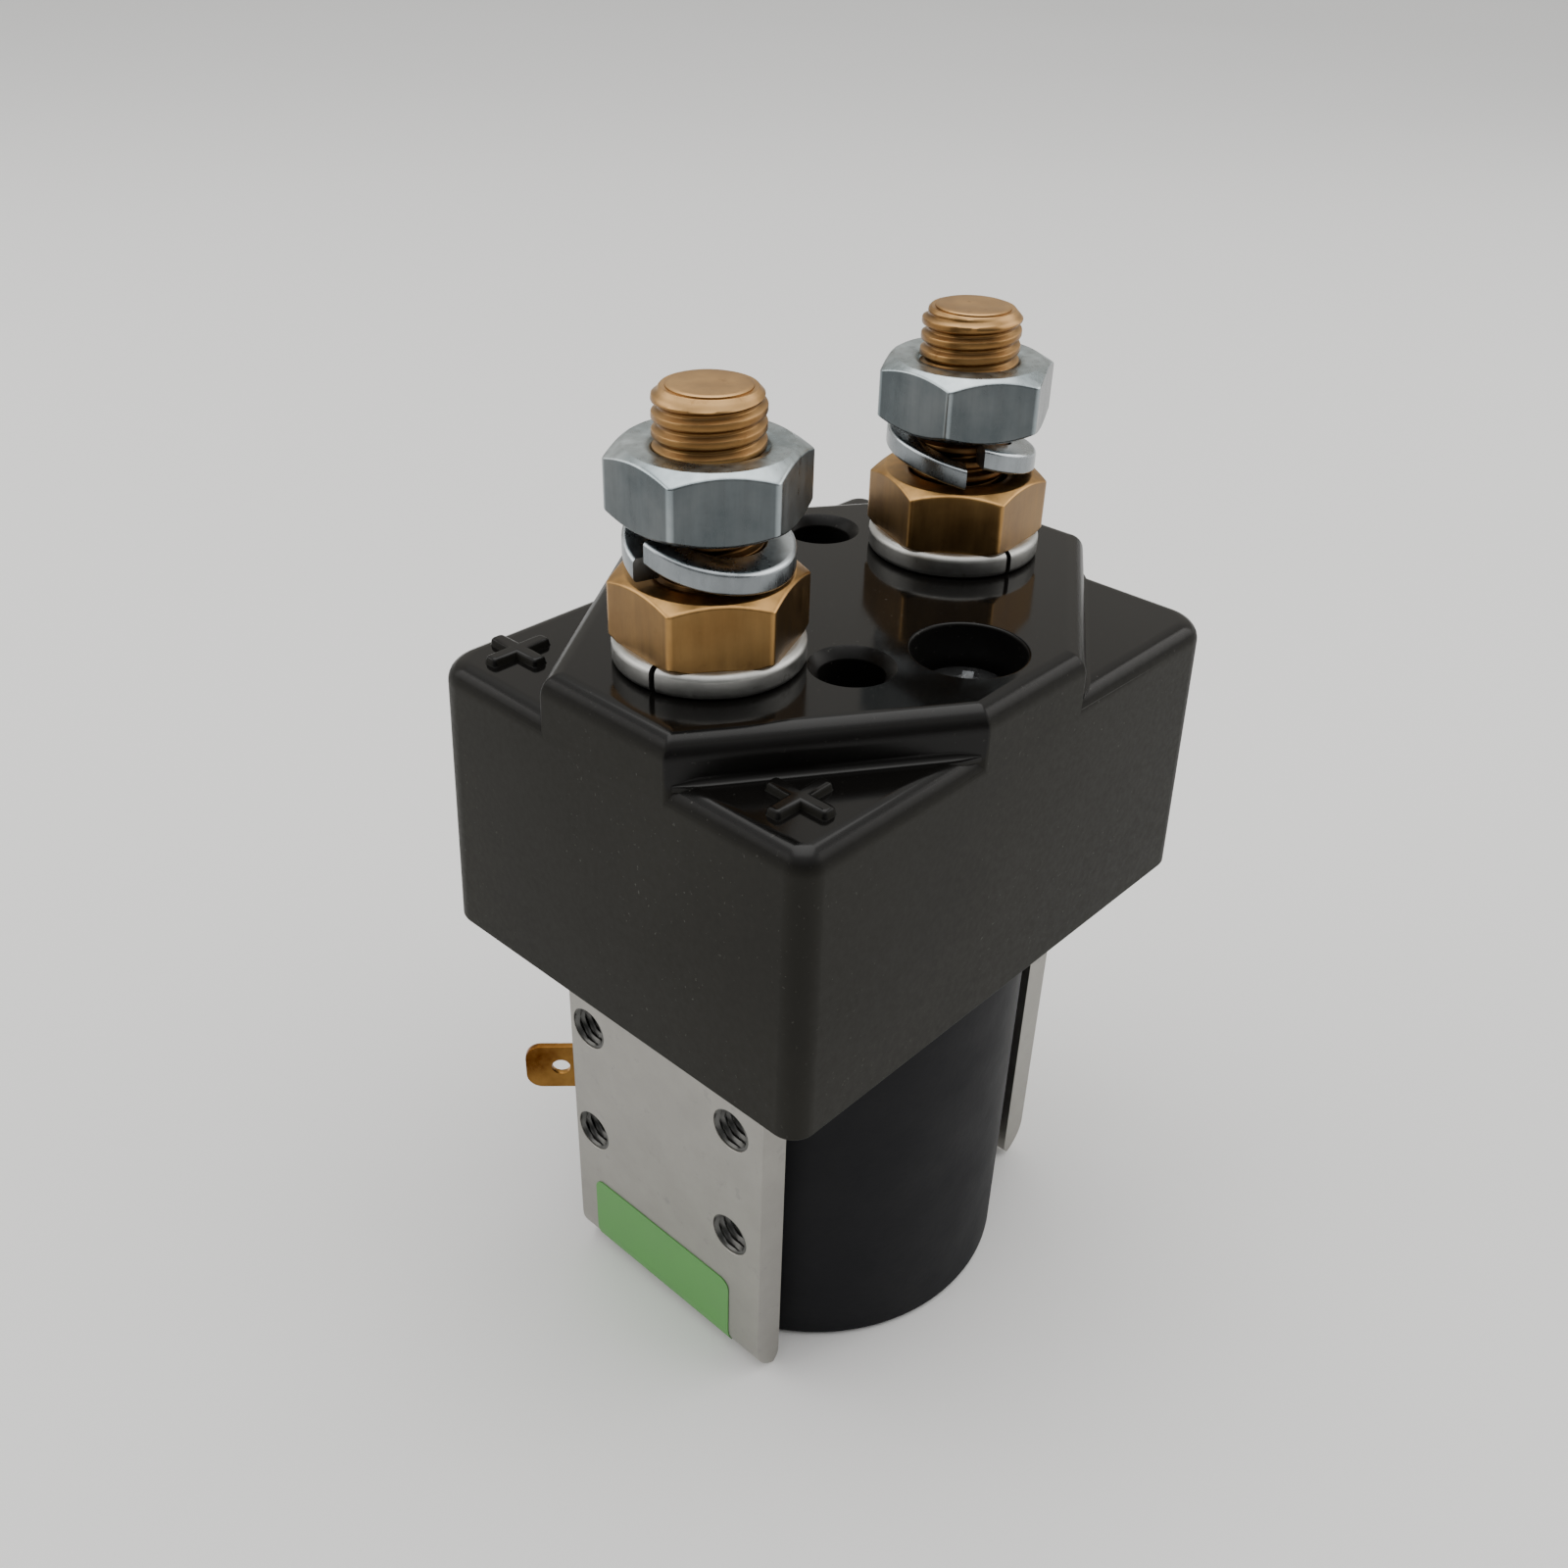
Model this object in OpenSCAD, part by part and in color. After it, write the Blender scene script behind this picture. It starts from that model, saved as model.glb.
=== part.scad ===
// Single-pole direct-current contactor: two threaded terminal studs over a bridging contact,
// closed by a plunger that a coil draws up inside a U-shaped steel frame.
// The origin is the centre of the frame's underside, +X runs along the line of studs, +Z is up.

/* [Cover] */
// Length of the moulded cover along the line of studs
cover_len = 64.5; // [60:0.5:70]
// Width of the moulded cover
cover_wid = 50; // [47:0.5:56]
// Height from the cover's lower edge to its raised top
cover_h = 35; // [32:0.5:40]
// Drop from the raised top to the four low corners
corner_drop = 4.4; // [2.5:0.1:5.5]
// Radius of the upright corners
corner_r = 2.5; // [2.4:0.1:6.5]
// Lean of each side, measured over the full height
side_lean = 0.4; // [0:0.05:0.8]
// Radius of the upper edges
edge_r = 2.2; // [0.6:0.1:2.3]
// Length along X of the low corners at front left and back right
cut_a_x = 24.1; // [20:0.1:25.5]
// Length along Y of the low corners at front left and back right
cut_a_y = 16.3; // [14:0.1:17.5]
// Length along X of the low corners at front right and back left
cut_b_x = 25; // [23:0.1:27]
// Length along Y of the low corners at front right and back left
cut_b_y = 16.9; // [15:0.1:18]
// Thickness of the cover over the contact chamber
ceiling_t = 7.5; // [6.5:0.25:8.5]
// Thickness of the skirt round the pole plate
skirt_t = 3.2; // [2.4:0.1:4]
// How far the skirt hangs below the pole plate's underside
skirt_drop = 0.5; // [0.2:0.1:1.5]
// Length of each bar of the raised plus marks
mark_len = 7; // [5:0.25:9]
// Width of each bar of the raised plus marks
mark_wid = 1.6; // [1.2:0.1:2.6]
// Height of the raised plus marks
mark_h = 0.8; // [0.4:0.1:1.4]
// Distance of the plus marks from the cover's end
mark_in_x = 6.9; // [6:0.1:10]
// How far in from the cover's side the mark at the front stands
mark_front_in = 7; // [6:0.1:8.5]
// How far in from the cover's side the mark at the back stands
mark_back_in = 5.8; // [5.4:0.1:8]
// Bore of the two moulded sockets
socket_d = 6.2; // [4:0.2:7]
// Depth of the two moulded sockets
socket_deep = 5.5; // [3:0.25:5.5]
// Width of the chamfer at a socket's mouth
socket_chamfer = 1; // [0.4:0.1:1.2]
// Distance of the front socket's axis from the centre along X
socket_front_x = 10.3; // [9.8:0.1:11]
// Distance of the front socket's axis from the centre along Y
socket_front_y = 10.5; // [10.2:0.1:12]
// Distance of the back socket's axis from the centre along X
socket_back_x = 11.4; // [10.6:0.1:13]
// Distance of the back socket's axis from the centre along Y
socket_back_y = 12.7; // [10.4:0.1:13.5]

/* [Contact chamber] */
// Half width of the chamber along the bridge
chamber_half = 7.8; // [7.2:0.1:8]
// Half width of the wider arc spaces round the contacts
arc_half = 13; // [10:0.25:13.5]
// Thickness of the cover's walls beyond the chamber's ends
end_wall = 4.75; // [4:0.05:5.25]
// Distance from the centre to where the arc spaces begin
arc_start = 10.2; // [9.6:0.1:10.6]
// Length of each blow-out magnet
magnet_len = 14; // [10:0.5:16]
// Thickness of each blow-out magnet
magnet_t = 3.6; // [2.5:0.1:4]
// Height of each blow-out magnet
magnet_h = 16; // [10:0.5:17]
// Height of the magnets' lower ends above the pole plate
magnet_lift = 2; // [0.5:0.1:3]
// Wall between the arc space and a magnet
magnet_wall = 2.4; // [1.5:0.1:2.6]

/* [Terminals] */
// Distance from the cover's end to the nearer stud's axis
stud_in = 14.1; // [13.5:0.1:14.4]
// Diameter of the studs
stud_d = 10; // [8:0.5:10]
// Height of the studs above the cover's raised top
stud_out = 25.4; // [24:0.1:30]
// Width of the chamfer on the stud's end
stud_chamfer = 1.1; // [0.5:0.1:1.5]
// Depth from the thread's crest to its pitch line, where a nut's thread meets the stud's
thread_deep = 0.49; // [0.3:0.01:0.6]
// Length of stud thread in reach of a nut's last turn, above the steel nut
thread_run = 0.3; // [0.1:0.05:0.5]
// Diameter of the stud's head
head_d = 16; // [14:0.25:16]
// Thickness of the stud's head
head_h = 4.2; // [3.5:0.1:5]
// Distance across the two flats that stop the head turning
head_flats = 13; // [12:0.25:14]
// Depth of the recess that holds the head
head_in = 1; // [0.5:0.1:1.5]
// Diameter of the fixed contact tips
stud_tip_d = 10; // [8:0.5:11]
// Thickness of the contact tips
tip_t = 1.5; // [0.8:0.1:2]
// Outer diameter of the seat washers
seat_washer_d = 17.9; // [16:0.1:19]
// Thickness of the seat washers
seat_washer_t = 2.5; // [1.6:0.1:2.8]
// Slot through the seat washers
seat_washer_slot = 0.6; // [0.4:0.1:2]
// Width across flats of all terminal nuts
nut_af = 16; // [15:0.5:17]
// Height of the brass nuts
brass_nut_h = 6.2; // [5:0.1:7]
// Height of the steel nuts
steel_nut_h = 6.5; // [5:0.1:8]
// Corner chamfer of the nuts, measured inward from the corners
nut_chamfer = 1.5; // [0.8:0.1:1.8]
// How far the brass nuts' corners are chamfered back underneath
brass_foot = 0.4; // [0.2:0.1:1.2]
// Outer diameter of the spring washers
lock_washer_d = 15.4; // [14.6:0.1:15.8]
// Thickness of the spring washers' section
lock_washer_t = 2.2; // [1.6:0.1:2.6]
// How far a spring washer's ends stand apart
lock_washer_lift = 2.5; // [1.2:0.1:2.8]
// Share of that height by which the tilted spring washers rise and fall at their rim
lock_washer_tilt = 0.68; // [0:0.02:0.7]
// Room left over the spring washers' high ends
lock_room = 0.4; // [0.1:0.1:0.8]
// Angle left open between a spring washer's ends
lock_washer_open = 12; // [6:1:20]

/* [Magnet frame] */
// Distance over the frame's two arms
frame_span = 50.5; // [50:0.25:54]
// Width of the frame strap
frame_wid = 29.5; // [26:0.5:32]
// Width of the frame's web between the arms
web_wid = 24; // [21:0.5:25.5]
// Radius of the arms' toes beside the web
toe_r = 2; // [0.5:0.1:2.5]
// Thickness of the frame strap
frame_t = 3.5; // [2.5:0.1:3.8]
// Height of the frame's arms
arm_h = 49; // [46:0.5:56]
// Outer radius of the frame's bends
bend_r = 4.5; // [4:0.1:6]
// Diameter of the tapped holes before threading
tap_d = 4.2; // [3.3:0.1:5]
// Chamfer at the mouth of the tapped holes
tap_chamfer = 0.35; // [0.1:0.05:0.5]
// Spacing of the tapped holes across an arm
tap_pitch_y = 22; // [18:0.5:22.5]
// Spacing of the tapped holes up an arm
tap_pitch_z = 15.5; // [12:0.5:16]
// Distance from the top of an arm to its upper holes
tap_down = 13.6; // [12:0.1:14]
// How far the tapped holes stand behind the arm's middle
tap_back = 0.8; // [0:0.1:1.2]
// Width of the tenon on top of each arm
tenon_wid = 14; // [10:0.5:16]
// Thickness of the pole plate
plate_t = 3; // [2.5:0.1:4]
// Radius of the pole plate's corners
plate_r = 2.5; // [1:0.25:4]

/* [Coil] */
// Thickness of the coil's moulded jacket at the front and the back
jacket_t = 2.3; // [1.8:0.1:2.6]
// Thickness of the jacket at its flats, beside the frame's arms
jacket_side_t = 1.15; // [0.9:0.05:1.6]
// Height of the jacket's underside above the base
jacket_foot = 0.1; // [0.1:0.1:1]
// Wall of the bobbin's tube
bobbin_t = 1.3; // [1:0.1:1.8]
// Thickness of the bobbin's flanges
flange_t = 1.5; // [1:0.1:2.5]
// Height of the bobbin's guide spigot above the base
spigot_foot = 0.6; // [0.3:0.1:1.2]
// Width of the coil's push-on tabs
tab_wid = 6.3; // [4.8:0.1:6.4]
// Thickness of the coil's push-on tabs
tab_t = 0.8; // [0.5:0.1:0.9]
// Length of a tab outside the jacket
tab_out = 12.1; // [9:0.1:12.1]
// Height of the tabs' centre line above the base
tab_z = 21.3; // [14:0.25:30]
// Diameter of the latch hole in a tab
tab_hole_d = 2.2; // [1.2:0.1:2.6]
// Distance of the latch hole from a tab's tip
tab_hole_in = 4.2; // [3:0.1:5]

/* [Plunger] */
// Diameter of the plunger and of the fixed core
plunger_d = 16; // [14.5:0.25:17]
// Height of the plunger's lower end above the base, at rest
plunger_foot = 1.5; // [1:0.1:3]
// Full travel of the plunger
stroke = 3; // [2.4:0.1:3.4]
// Length of the fixed core below the pole plate
core_len = 11; // [10:0.5:16]
// Diameter of the core's shank in the pole plate
shank_d = 14; // [13:0.25:14.25]
// Diameter of the spring pocket in the core
pocket_d = 11.6; // [11.2:0.1:12]
// Depth of the spring pocket in the core
pocket_deep = 9; // [8:0.25:9.5]
// Diameter of the plunger's shaft
shaft_d = 5; // [4:0.25:5.5]
// Depth to which the shaft is pressed into the plunger
shaft_in = 12; // [8:0.5:18]

/* [Moving contact] */
// Open gap between the moving and the fixed tips
contact_gap = 2; // [1.4:0.1:2.2]
// Length of the moving bridge
bridge_len = 50; // [48:0.5:52]
// Width of the moving bridge
bridge_wid = 12; // [10:0.5:13]
// Thickness of the moving bridge
bridge_t = 2.5; // [1.5:0.1:3]
// Radius of the moving bridge's corners
bridge_corner_r = 2; // [1:0.25:4]
// Diameter of the moving contact tips
bridge_tip_d = 9; // [7:0.5:10]
// Diameter of the insulating washers and flanges on the shaft
insulator_d = 14; // [13.8:0.1:15]
// Thickness of the insulating washer and of the bush flange
insulator_t = 1.5; // [1:0.1:2]
// Diameter of the insulating bush inside the bridge
bush_d = 8; // [7.6:0.1:8.4]
// Thickness of the buffer washer on the pole plate
buffer_t = 1; // [0.6:0.1:1.5]
// Thickness of the spring seat's flange
seat_t = 2.5; // [2:0.1:3]
// Height of the guide collar on the spring seat
collar_h = 1.5; // [0.5:0.1:2]
// Diameter of the retaining clip
clip_d = 9; // [8:0.25:10]
// Thickness of the retaining clip
clip_t = 1; // [0.6:0.1:1.2]
// Depth of the clip's groove in the shaft
groove_deep = 0.5; // [0.3:0.05:0.7]
// Length of shaft that stands above the clip
shaft_end = 1.2; // [0.6:0.1:1.4]

/* [Springs] */
// Wire diameter of the return spring
return_wire = 1; // [0.7:0.05:1.1]
// Mean diameter of the return spring
return_mean_d = 9.4; // [8.4:0.1:9.8]
// Turns of the return spring
return_turns = 5; // [4:1:6]
// Wire diameter of the contact spring
contact_wire = 1.4; // [1:0.05:1.4]
// Mean diameter of the contact spring
contact_mean_d = 11.2; // [10.8:0.1:11.8]
// Turns of the contact spring
contact_turns = 3; // [2:1:3]

/* [Cover screws] */
// Distance of each cover screw from the centre
screw_y = 16; // [15.2:0.1:16.6]
// Diameter of the cover screws
screw_d = 5; // [4:0.5:5]
// Diameter of the screws' heads
screw_head_d = 9.5; // [8:0.1:9.6]
// Height of the screws' heads
screw_head_h = 3.7; // [2.5:0.1:4]
// Thickness of the washers under the heads
screw_washer_t = 1.2; // [0.8:0.1:1.5]
// Diameter of the counterbore for a screw's head
cbore_d = 11; // [10:0.25:11.5]
// Depth of the counterbore
cbore_deep = 8.3; // [7.5:0.1:9.5]
// Width of the cross recess in a screw's head
recess_wid = 1.1; // [0.8:0.1:1.4]
// Length of the cross recess in a screw's head
recess_len = 5; // [4:0.25:6]
// Depth of the cross recess in a screw's head
recess_deep = 1.8; // [1:0.1:2.2]

/* [Label] */
// Width of the blank label on the frame's left arm
label_wid = 22; // [14:0.5:22]
// Height of the label on the flat of the arm
label_flat = 7.7; // [4:0.1:8.5]
// Thickness of the label
label_t = 0.12; // [0.08:0.01:0.2]
// Distance of the label's centre from the frame's middle, towards the back
label_y = 0.8; // [0:0.1:3.5]

/* [Clearances] */
// Radial clearance of the shaft in the pieces that it slides through
slide_gap = 0.05; // [0.02:0.01:0.1]
// Radial clearance of the plunger in the bobbin
plunger_gap = 0.08; // [0.04:0.01:0.1]
// Radial clearance of screws and studs in tapped pieces
thread_gap = 0.05; // [0.02:0.01:0.1]
// Radial clearance of pieces that are pressed together
press_gap = 0.01; // [0:0.005:0.02]
// Clearance round pieces that drop into a pocket or a slot
fit_gap = 0.1; // [0.05:0.01:0.15]
// Clearance between the pole plate and the cover's skirt
plate_gap = 0.2; // [0.1:0.05:0.4]
// Air left between the plunger and the core when closed
seat_gap = 0.05; // [0.02:0.01:0.1]

/* [Hidden] */

// Facets of round shapes, of hulled corners and of one turn of a spring
$fn = 64;
hull_fn = 32;
turn_steps = 24;
wire_sides = 8;
sliver = 0.01;
over = 1;

// Heights of the stack, from the base upwards
plate_top = arm_h + plate_t;
cover_z = arm_h - skirt_drop;
plateau_z = cover_z + cover_h;
low_z = plateau_z - corner_drop;
ceiling_z = plateau_z - ceiling_t;
seat_base = plate_top + buffer_t;
spring_base = seat_base + seat_t;
head_base = ceiling_z + head_in - head_h;
stud_tip_z = head_base - tip_t;
bridge_top = stud_tip_z - contact_gap - tip_t;
bridge_z = bridge_top - bridge_t;
bush_z = bridge_z - insulator_t;
washer_top = bridge_top + insulator_t;
shaft_top = washer_top + clip_t + shaft_end;
core_z = arm_h - core_len;
pocket_top = core_z + pocket_deep;
plunger_top = core_z - stroke - seat_gap;

// Terminal stack above the raised top
brass_z = plateau_z + seat_washer_t;
lock_z = brass_z + brass_nut_h;
steel_z = lock_z + lock_washer_t + lock_washer_lift + lock_room;
stud_x = cover_len / 2 - stud_in;
chamber_end = cover_len / 2 - end_wall;
stud_r = stud_d / 2;
stud_hole_r = stud_r + fit_gap;
pitch_r = stud_r - thread_deep;
steel_top = steel_z + steel_nut_h;
nut_corner_r = nut_af / sqrt(3);
sides = [-1, 1];

// Directions in which the washers' slots and the nuts' corners point, left stud then right stud
seat_slot_turn = [191, 257];
lock_gap_turn = [173, 228];
brass_turn = [22.7, 6.5];
steel_turn = [24.3, 26];

// Radii and lengths that follow from the sizes above
plunger_r = plunger_d / 2;
bobbin_in_r = plunger_r + plunger_gap;
bobbin_out_r = bobbin_in_r + bobbin_t;
web_hole_r = bobbin_out_r + fit_gap;
arm_in = frame_span / 2 - frame_t;
jacket_in_r = arm_in - fit_gap - jacket_side_t;
jacket_r = jacket_in_r + jacket_t;
jacket_top = cover_z - fit_gap;
tab_reach = jacket_r + tab_out;
flange_r = jacket_in_r - press_gap;
winding_r = flange_r - press_gap;
plate_len = cover_len - 2 * skirt_t - 2 * plate_gap;
plate_wid = cover_wid - 2 * skirt_t - 2 * plate_gap;
shaft_r = shaft_d / 2;
shaft_hole_r = shaft_r + slide_gap;
screw_r = screw_d / 2;
screw_hole_r = screw_r + thread_gap;
screw_clear_r = screw_r + 0.25;
screw_seat = plateau_z - cbore_deep;
screw_head_z = screw_seat + screw_washer_t;
screw_tip = arm_h + 0.3;
magnet_y = arc_half + magnet_wall + magnet_t / 2;
magnet_top = plate_top + magnet_h + magnet_lift;
tab_turn = [135, 45];
tab_root = jacket_in_r + fit_gap;

// Plan of the raised top: eight corners, the same after half a turn
half_l = cover_len / 2;
half_w = cover_wid / 2;
front_plan = [
    [-half_l, -half_w + cut_a_y], [-half_l + cut_a_x, -half_w],
    [half_l - cut_b_x, -half_w], [half_l, -half_w + cut_b_y]
];
plateau_plan = [for (turn = sides) for (p = front_plan) -turn * p];

// Steps of a rounded upper edge: how far in and how far down, as shares of the radius
edge_steps = [for (a = [0, 30, 60, 90]) [1 - cos(a), 1 - sin(a)]];

// How far the sides have leaned in at a height
function lean_at(z) = side_lean * (z - cover_z) / cover_h;

// Points of a round wire's rings along a helix
function wire_ring(r, w, a, z) = [
    for (i = [0:wire_sides - 1]) let (b = 360 * i / wire_sides, d = r + w / 2 * cos(b))
        [d * cos(a), d * sin(a), z + w / 2 * sin(b)]
];

// Faces that join rings of n points into a closed tube
function tube_faces(rings, n) = concat(
    [[for (i = [n - 1:-1:0]) i]],
    [for (k = [0:rings - 2]) for (i = [0:n - 1])
        [k * n + i, k * n + (i + 1) % n, (k + 1) * n + (i + 1) % n, (k + 1) * n + i]],
    [[for (i = [0:n - 1]) (rings - 1) * n + i]]
);

// Round bar with a chamfer at each end
module chamfered_bar(r, z0, z1, c0, c1) {
    rotate_extrude()
        polygon([[0, z0], [r - c0, z0], [r, z0 + c0], [r, z1 - c1], [r - c1, z1], [0, z1]]);
}

// Flat ring between two heights
module ring(r_out, r_in, z0, z1) {
    rotate_extrude()
        polygon([[r_in, z0], [r_out, z0], [r_out, z1], [r_in, z1]]);
}

// Rectangular block with round upright corners
module rounded_block(len, wid, r, z0, z1) {
    translate([0, 0, z0])
        linear_extrude(z1 - z0)
            union() {
                square([len - 2 * r, wid], center = true);
                square([len, wid - 2 * r], center = true);
                for (x = sides, y = sides)
                    translate([x * (len / 2 - r), y * (wid / 2 - r)]) circle(r);
            }
}

// Helical compression spring between two heights, in round wire
module coil_spring(mean_d, wire, turns, z0, z1) {
    rings = turns * turn_steps + 1;
    rise = z1 - z0 - wire;
    points = [
        for (k = [0:rings - 1]) each wire_ring(mean_d / 2, wire, 360 * k / turn_steps,
            z0 + wire / 2 + rise * k / (rings - 1))
    ];
    polyhedron(points, tube_faces(rings, wire_sides), convexity = 6);
}

// Hexagon nut with a bore, chamfered at both ends
module hex_nut(z, h, turn, foot) {
    wide = nut_corner_r + over;
    flat_r = nut_corner_r - nut_chamfer;
    drop = (nut_chamfer + over) * tan(30);
    foot_drop = (foot + over) * tan(30);
    mouth = thread_deep;
    bore = pitch_r + thread_gap;
    translate([0, 0, z]) difference() {
        intersection() {
            rotate(turn) cylinder(r = nut_corner_r, h = h, $fn = 6);
            rotate_extrude()
                polygon([[0, 0], [nut_corner_r - foot, 0], [wide, foot_drop], [wide, h - drop],
                    [flat_r, h], [0, h]]);
        }
        rotate_extrude()
            polygon([[0, -over], [bore + mouth, -over], [bore + mouth, 0], [bore, mouth],
                [bore, h - mouth], [bore + mouth, h], [bore + mouth, h + over], [0, h + over]]);
    }
}

// Spring washer that has sprung open and tilted: one turn of flat section that falls as it goes
// round, lowest a quarter of a turn from its high end
module sprung_washer(z, turn) {
    steps = 2 * turn_steps;
    r_in = stud_hole_r;
    r_out = lock_washer_d / 2;
    sweep = 360 - lock_washer_open;
    points = [
        for (k = [0:steps]) let (along = sweep * k / steps, a = turn + lock_washer_open / 2 + along,
            low = z + lock_washer_lift * (1 - k / steps), tilt = lock_washer_lift * lock_washer_tilt)
            each [for (q = [[r_in, 0], [r_out, 0], [r_out, lock_washer_t], [r_in, lock_washer_t]])
                [q[0] * cos(a), q[0] * sin(a), low + q[1] - tilt * sin(along) * q[0] / r_out]]
    ];
    polyhedron(points, tube_faces(steps + 1, 4), convexity = 4);
}

// Stud with its flat-sided head below, drawn at the thread's crest, and at its pitch line in the nuts
module terminal_stud(x) {
    top = plateau_z + stud_out;
    shank_z = head_base + head_h - sliver;
    end_z = steel_top + thread_run;
    color("darkgoldenrod") translate([x, 0, 0]) union() {
        rotate_extrude() polygon([
            [0, shank_z], [stud_r, shank_z], [stud_r, brass_z], [pitch_r, brass_z],
            [pitch_r, lock_z], [stud_r, lock_z], [stud_r, steel_z], [pitch_r, steel_z],
            [pitch_r, end_z], [stud_r, end_z], [stud_r, top - stud_chamfer],
            [stud_r - stud_chamfer, top], [0, top]
        ]);
        intersection() {
            chamfered_bar(head_d / 2, head_base, head_base + head_h, 0.4, 0);
            translate([-head_d, -head_flats / 2, head_base]) cube([2 * head_d, head_flats, head_h]);
        }
    }
}

// Push-on tab that stands out of the coil jacket in a given direction
module coil_tab(turn) {
    nose = 1;
    long = tab_reach - tab_root;
    color("peru") rotate(turn) translate([tab_root, tab_t / 2, tab_z]) rotate([90, 0, 0])
        linear_extrude(tab_t) difference() {
            polygon([[0, -tab_wid / 2], [long - nose, -tab_wid / 2], [long, -tab_wid / 2 + nose],
                [long, tab_wid / 2 - nose], [long - nose, tab_wid / 2], [0, tab_wid / 2]]);
            translate([long - tab_hole_in, 0]) circle(tab_hole_d / 2);
        }
}

// Steel strap bent into a U, with tapped arms and a hole in its web for the plunger
module frame_yoke() {
    half = frame_span / 2;
    inner_r = bend_r - frame_t;
    mid_z = bend_r;
    color("lightgray") difference() {
        rotate([90, 0, 0]) linear_extrude(frame_wid, center = true) union() {
            translate([-half + bend_r, 0]) square([frame_span - 2 * bend_r, frame_t]);
            for (side = sides) {
                translate([side * (half - frame_t / 2) - frame_t / 2, mid_z])
                    square([frame_t, arm_h - mid_z]);
                translate([side * (half - bend_r), mid_z]) intersection() {
                    difference() {
                        circle(bend_r);
                        circle(inner_r);
                    }
                    translate([side > 0 ? 0 : -bend_r, -bend_r]) square(bend_r);
                }
            }
        }
        translate([0, 0, -over]) cylinder(r = web_hole_r, h = frame_t + 2 * over);
        for (side = sides, y = sides, row = [0, 1])
            translate([side * half, tap_back + y * tap_pitch_y / 2, arm_h - tap_down - row * tap_pitch_z])
                rotate([0, -side * 90, 0]) tapped_hole();
        for (y = sides) translate([0, y * (web_wid + frame_wid) / 2, 0]) rotate([90, 0, 0])
            linear_extrude(frame_wid, center = true) web_notch();
    }
    color("lightgray") for (side = sides)
        translate([side * (half - frame_t / 2), 0, arm_h + plate_t / 2 - sliver / 2])
            cube([frame_t, tenon_wid, plate_t + sliver], center = true);
}

// Section of the cut beside the web, with a round where it meets each arm's toe
module web_notch() {
    toe_x = arm_in + toe_r;
    difference() {
        union() {
            translate([-toe_x, -over]) square([2 * toe_x, toe_r + over]);
            translate([-arm_in, 0]) square([2 * arm_in, bend_r]);
        }
        for (side = sides) translate([side * toe_x, toe_r]) circle(toe_r);
    }
}

// Hole through an arm, chamfered where it starts at the arm's outer face
module tapped_hole() {
    r = tap_d / 2;
    rotate_extrude()
        polygon([[0, -over], [r + tap_chamfer, -over], [r + tap_chamfer, 0], [r, tap_chamfer],
            [r, frame_t + over], [0, frame_t + over]]);
}

// Steel plate that closes the frame and carries the fixed core and the cover
module pole_plate() {
    color("silver") difference() {
        rounded_block(plate_len, plate_wid, plate_r, arm_h, plate_top);
        translate([0, 0, arm_h - over])
            cylinder(r = shank_d / 2 + press_gap, h = plate_t + 2 * over);
        for (y = sides) translate([0, y * screw_y, arm_h - over])
            cylinder(r = screw_hole_r, h = plate_t + 2 * over);
        for (side = sides)
            translate([side * (frame_span / 2 - frame_t / 2), 0, arm_h + plate_t / 2])
                cube([frame_t + 2 * press_gap, tenon_wid + 2 * press_gap, plate_t + 2 * over],
                    center = true);
    }
}

// Core that the plunger closes against, with a pocket for the return spring
module fixed_core() {
    color("darkgray") rotate_extrude() polygon([
        [pocket_d / 2, core_z], [plunger_r, core_z], [plunger_r, arm_h],
        [shank_d / 2, arm_h], [shank_d / 2, plate_top], [shaft_hole_r, plate_top],
        [shaft_hole_r, pocket_top], [pocket_d / 2, pocket_top]
    ]);
}

// Moulded bobbin: guide tube with two flanges and a spigot through the frame's web
module coil_bobbin() {
    color("ivory") rotate_extrude() polygon([
        [bobbin_in_r, spigot_foot], [bobbin_out_r, spigot_foot], [bobbin_out_r, frame_t],
        [flange_r, frame_t], [flange_r, frame_t + flange_t], [bobbin_out_r, frame_t + flange_t],
        [bobbin_out_r, arm_h - flange_t], [flange_r, arm_h - flange_t], [flange_r, arm_h],
        [bobbin_in_r, arm_h]
    ]);
}

// Copper winding between the bobbin's flanges
module coil_winding() {
    color("chocolate")
        ring(winding_r, bobbin_out_r + press_gap, frame_t + flange_t, arm_h - flange_t);
}

// Black jacket round the winding, flat beside the arms, let in underneath for the frame's web and
// at the back for the tabs
module coil_jacket() {
    channel_z = bend_r + fit_gap;
    color("darkslategray") difference() {
        union() {
            ring(jacket_r, jacket_in_r, jacket_foot, jacket_top);
            ring(jacket_r - sliver, web_hole_r, jacket_foot, frame_t - sliver);
        }
        translate([0, 0, channel_z / 2 - over])
            cube([frame_span, web_wid + 4 * fit_gap, channel_z + 2 * over], center = true);
        for (side = sides) translate([side * (arm_in - fit_gap + over), 0, arm_h / 2])
            cube([2 * over, frame_wid, arm_h + 2 * over], center = true);
        for (turn = tab_turn) rotate(turn)
            translate([jacket_in_r - over, -tab_t / 2 - fit_gap / 2, tab_z - tab_wid / 2 - fit_gap / 2])
                cube([jacket_t + 2 * over, tab_t + fit_gap, tab_wid + fit_gap]);
    }
}

module coil_tab_left() {
    coil_tab(tab_turn[0]);
}

module coil_tab_right() {
    coil_tab(tab_turn[1]);
}

// Soft-iron plunger, bored at the top for its shaft
module plunger() {
    color("gray") difference() {
        chamfered_bar(plunger_r, plunger_foot, plunger_top, 0.6, 0.3);
        translate([0, 0, plunger_top - shaft_in]) cylinder(r = shaft_r + press_gap, h = shaft_in + over);
    }
}

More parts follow.
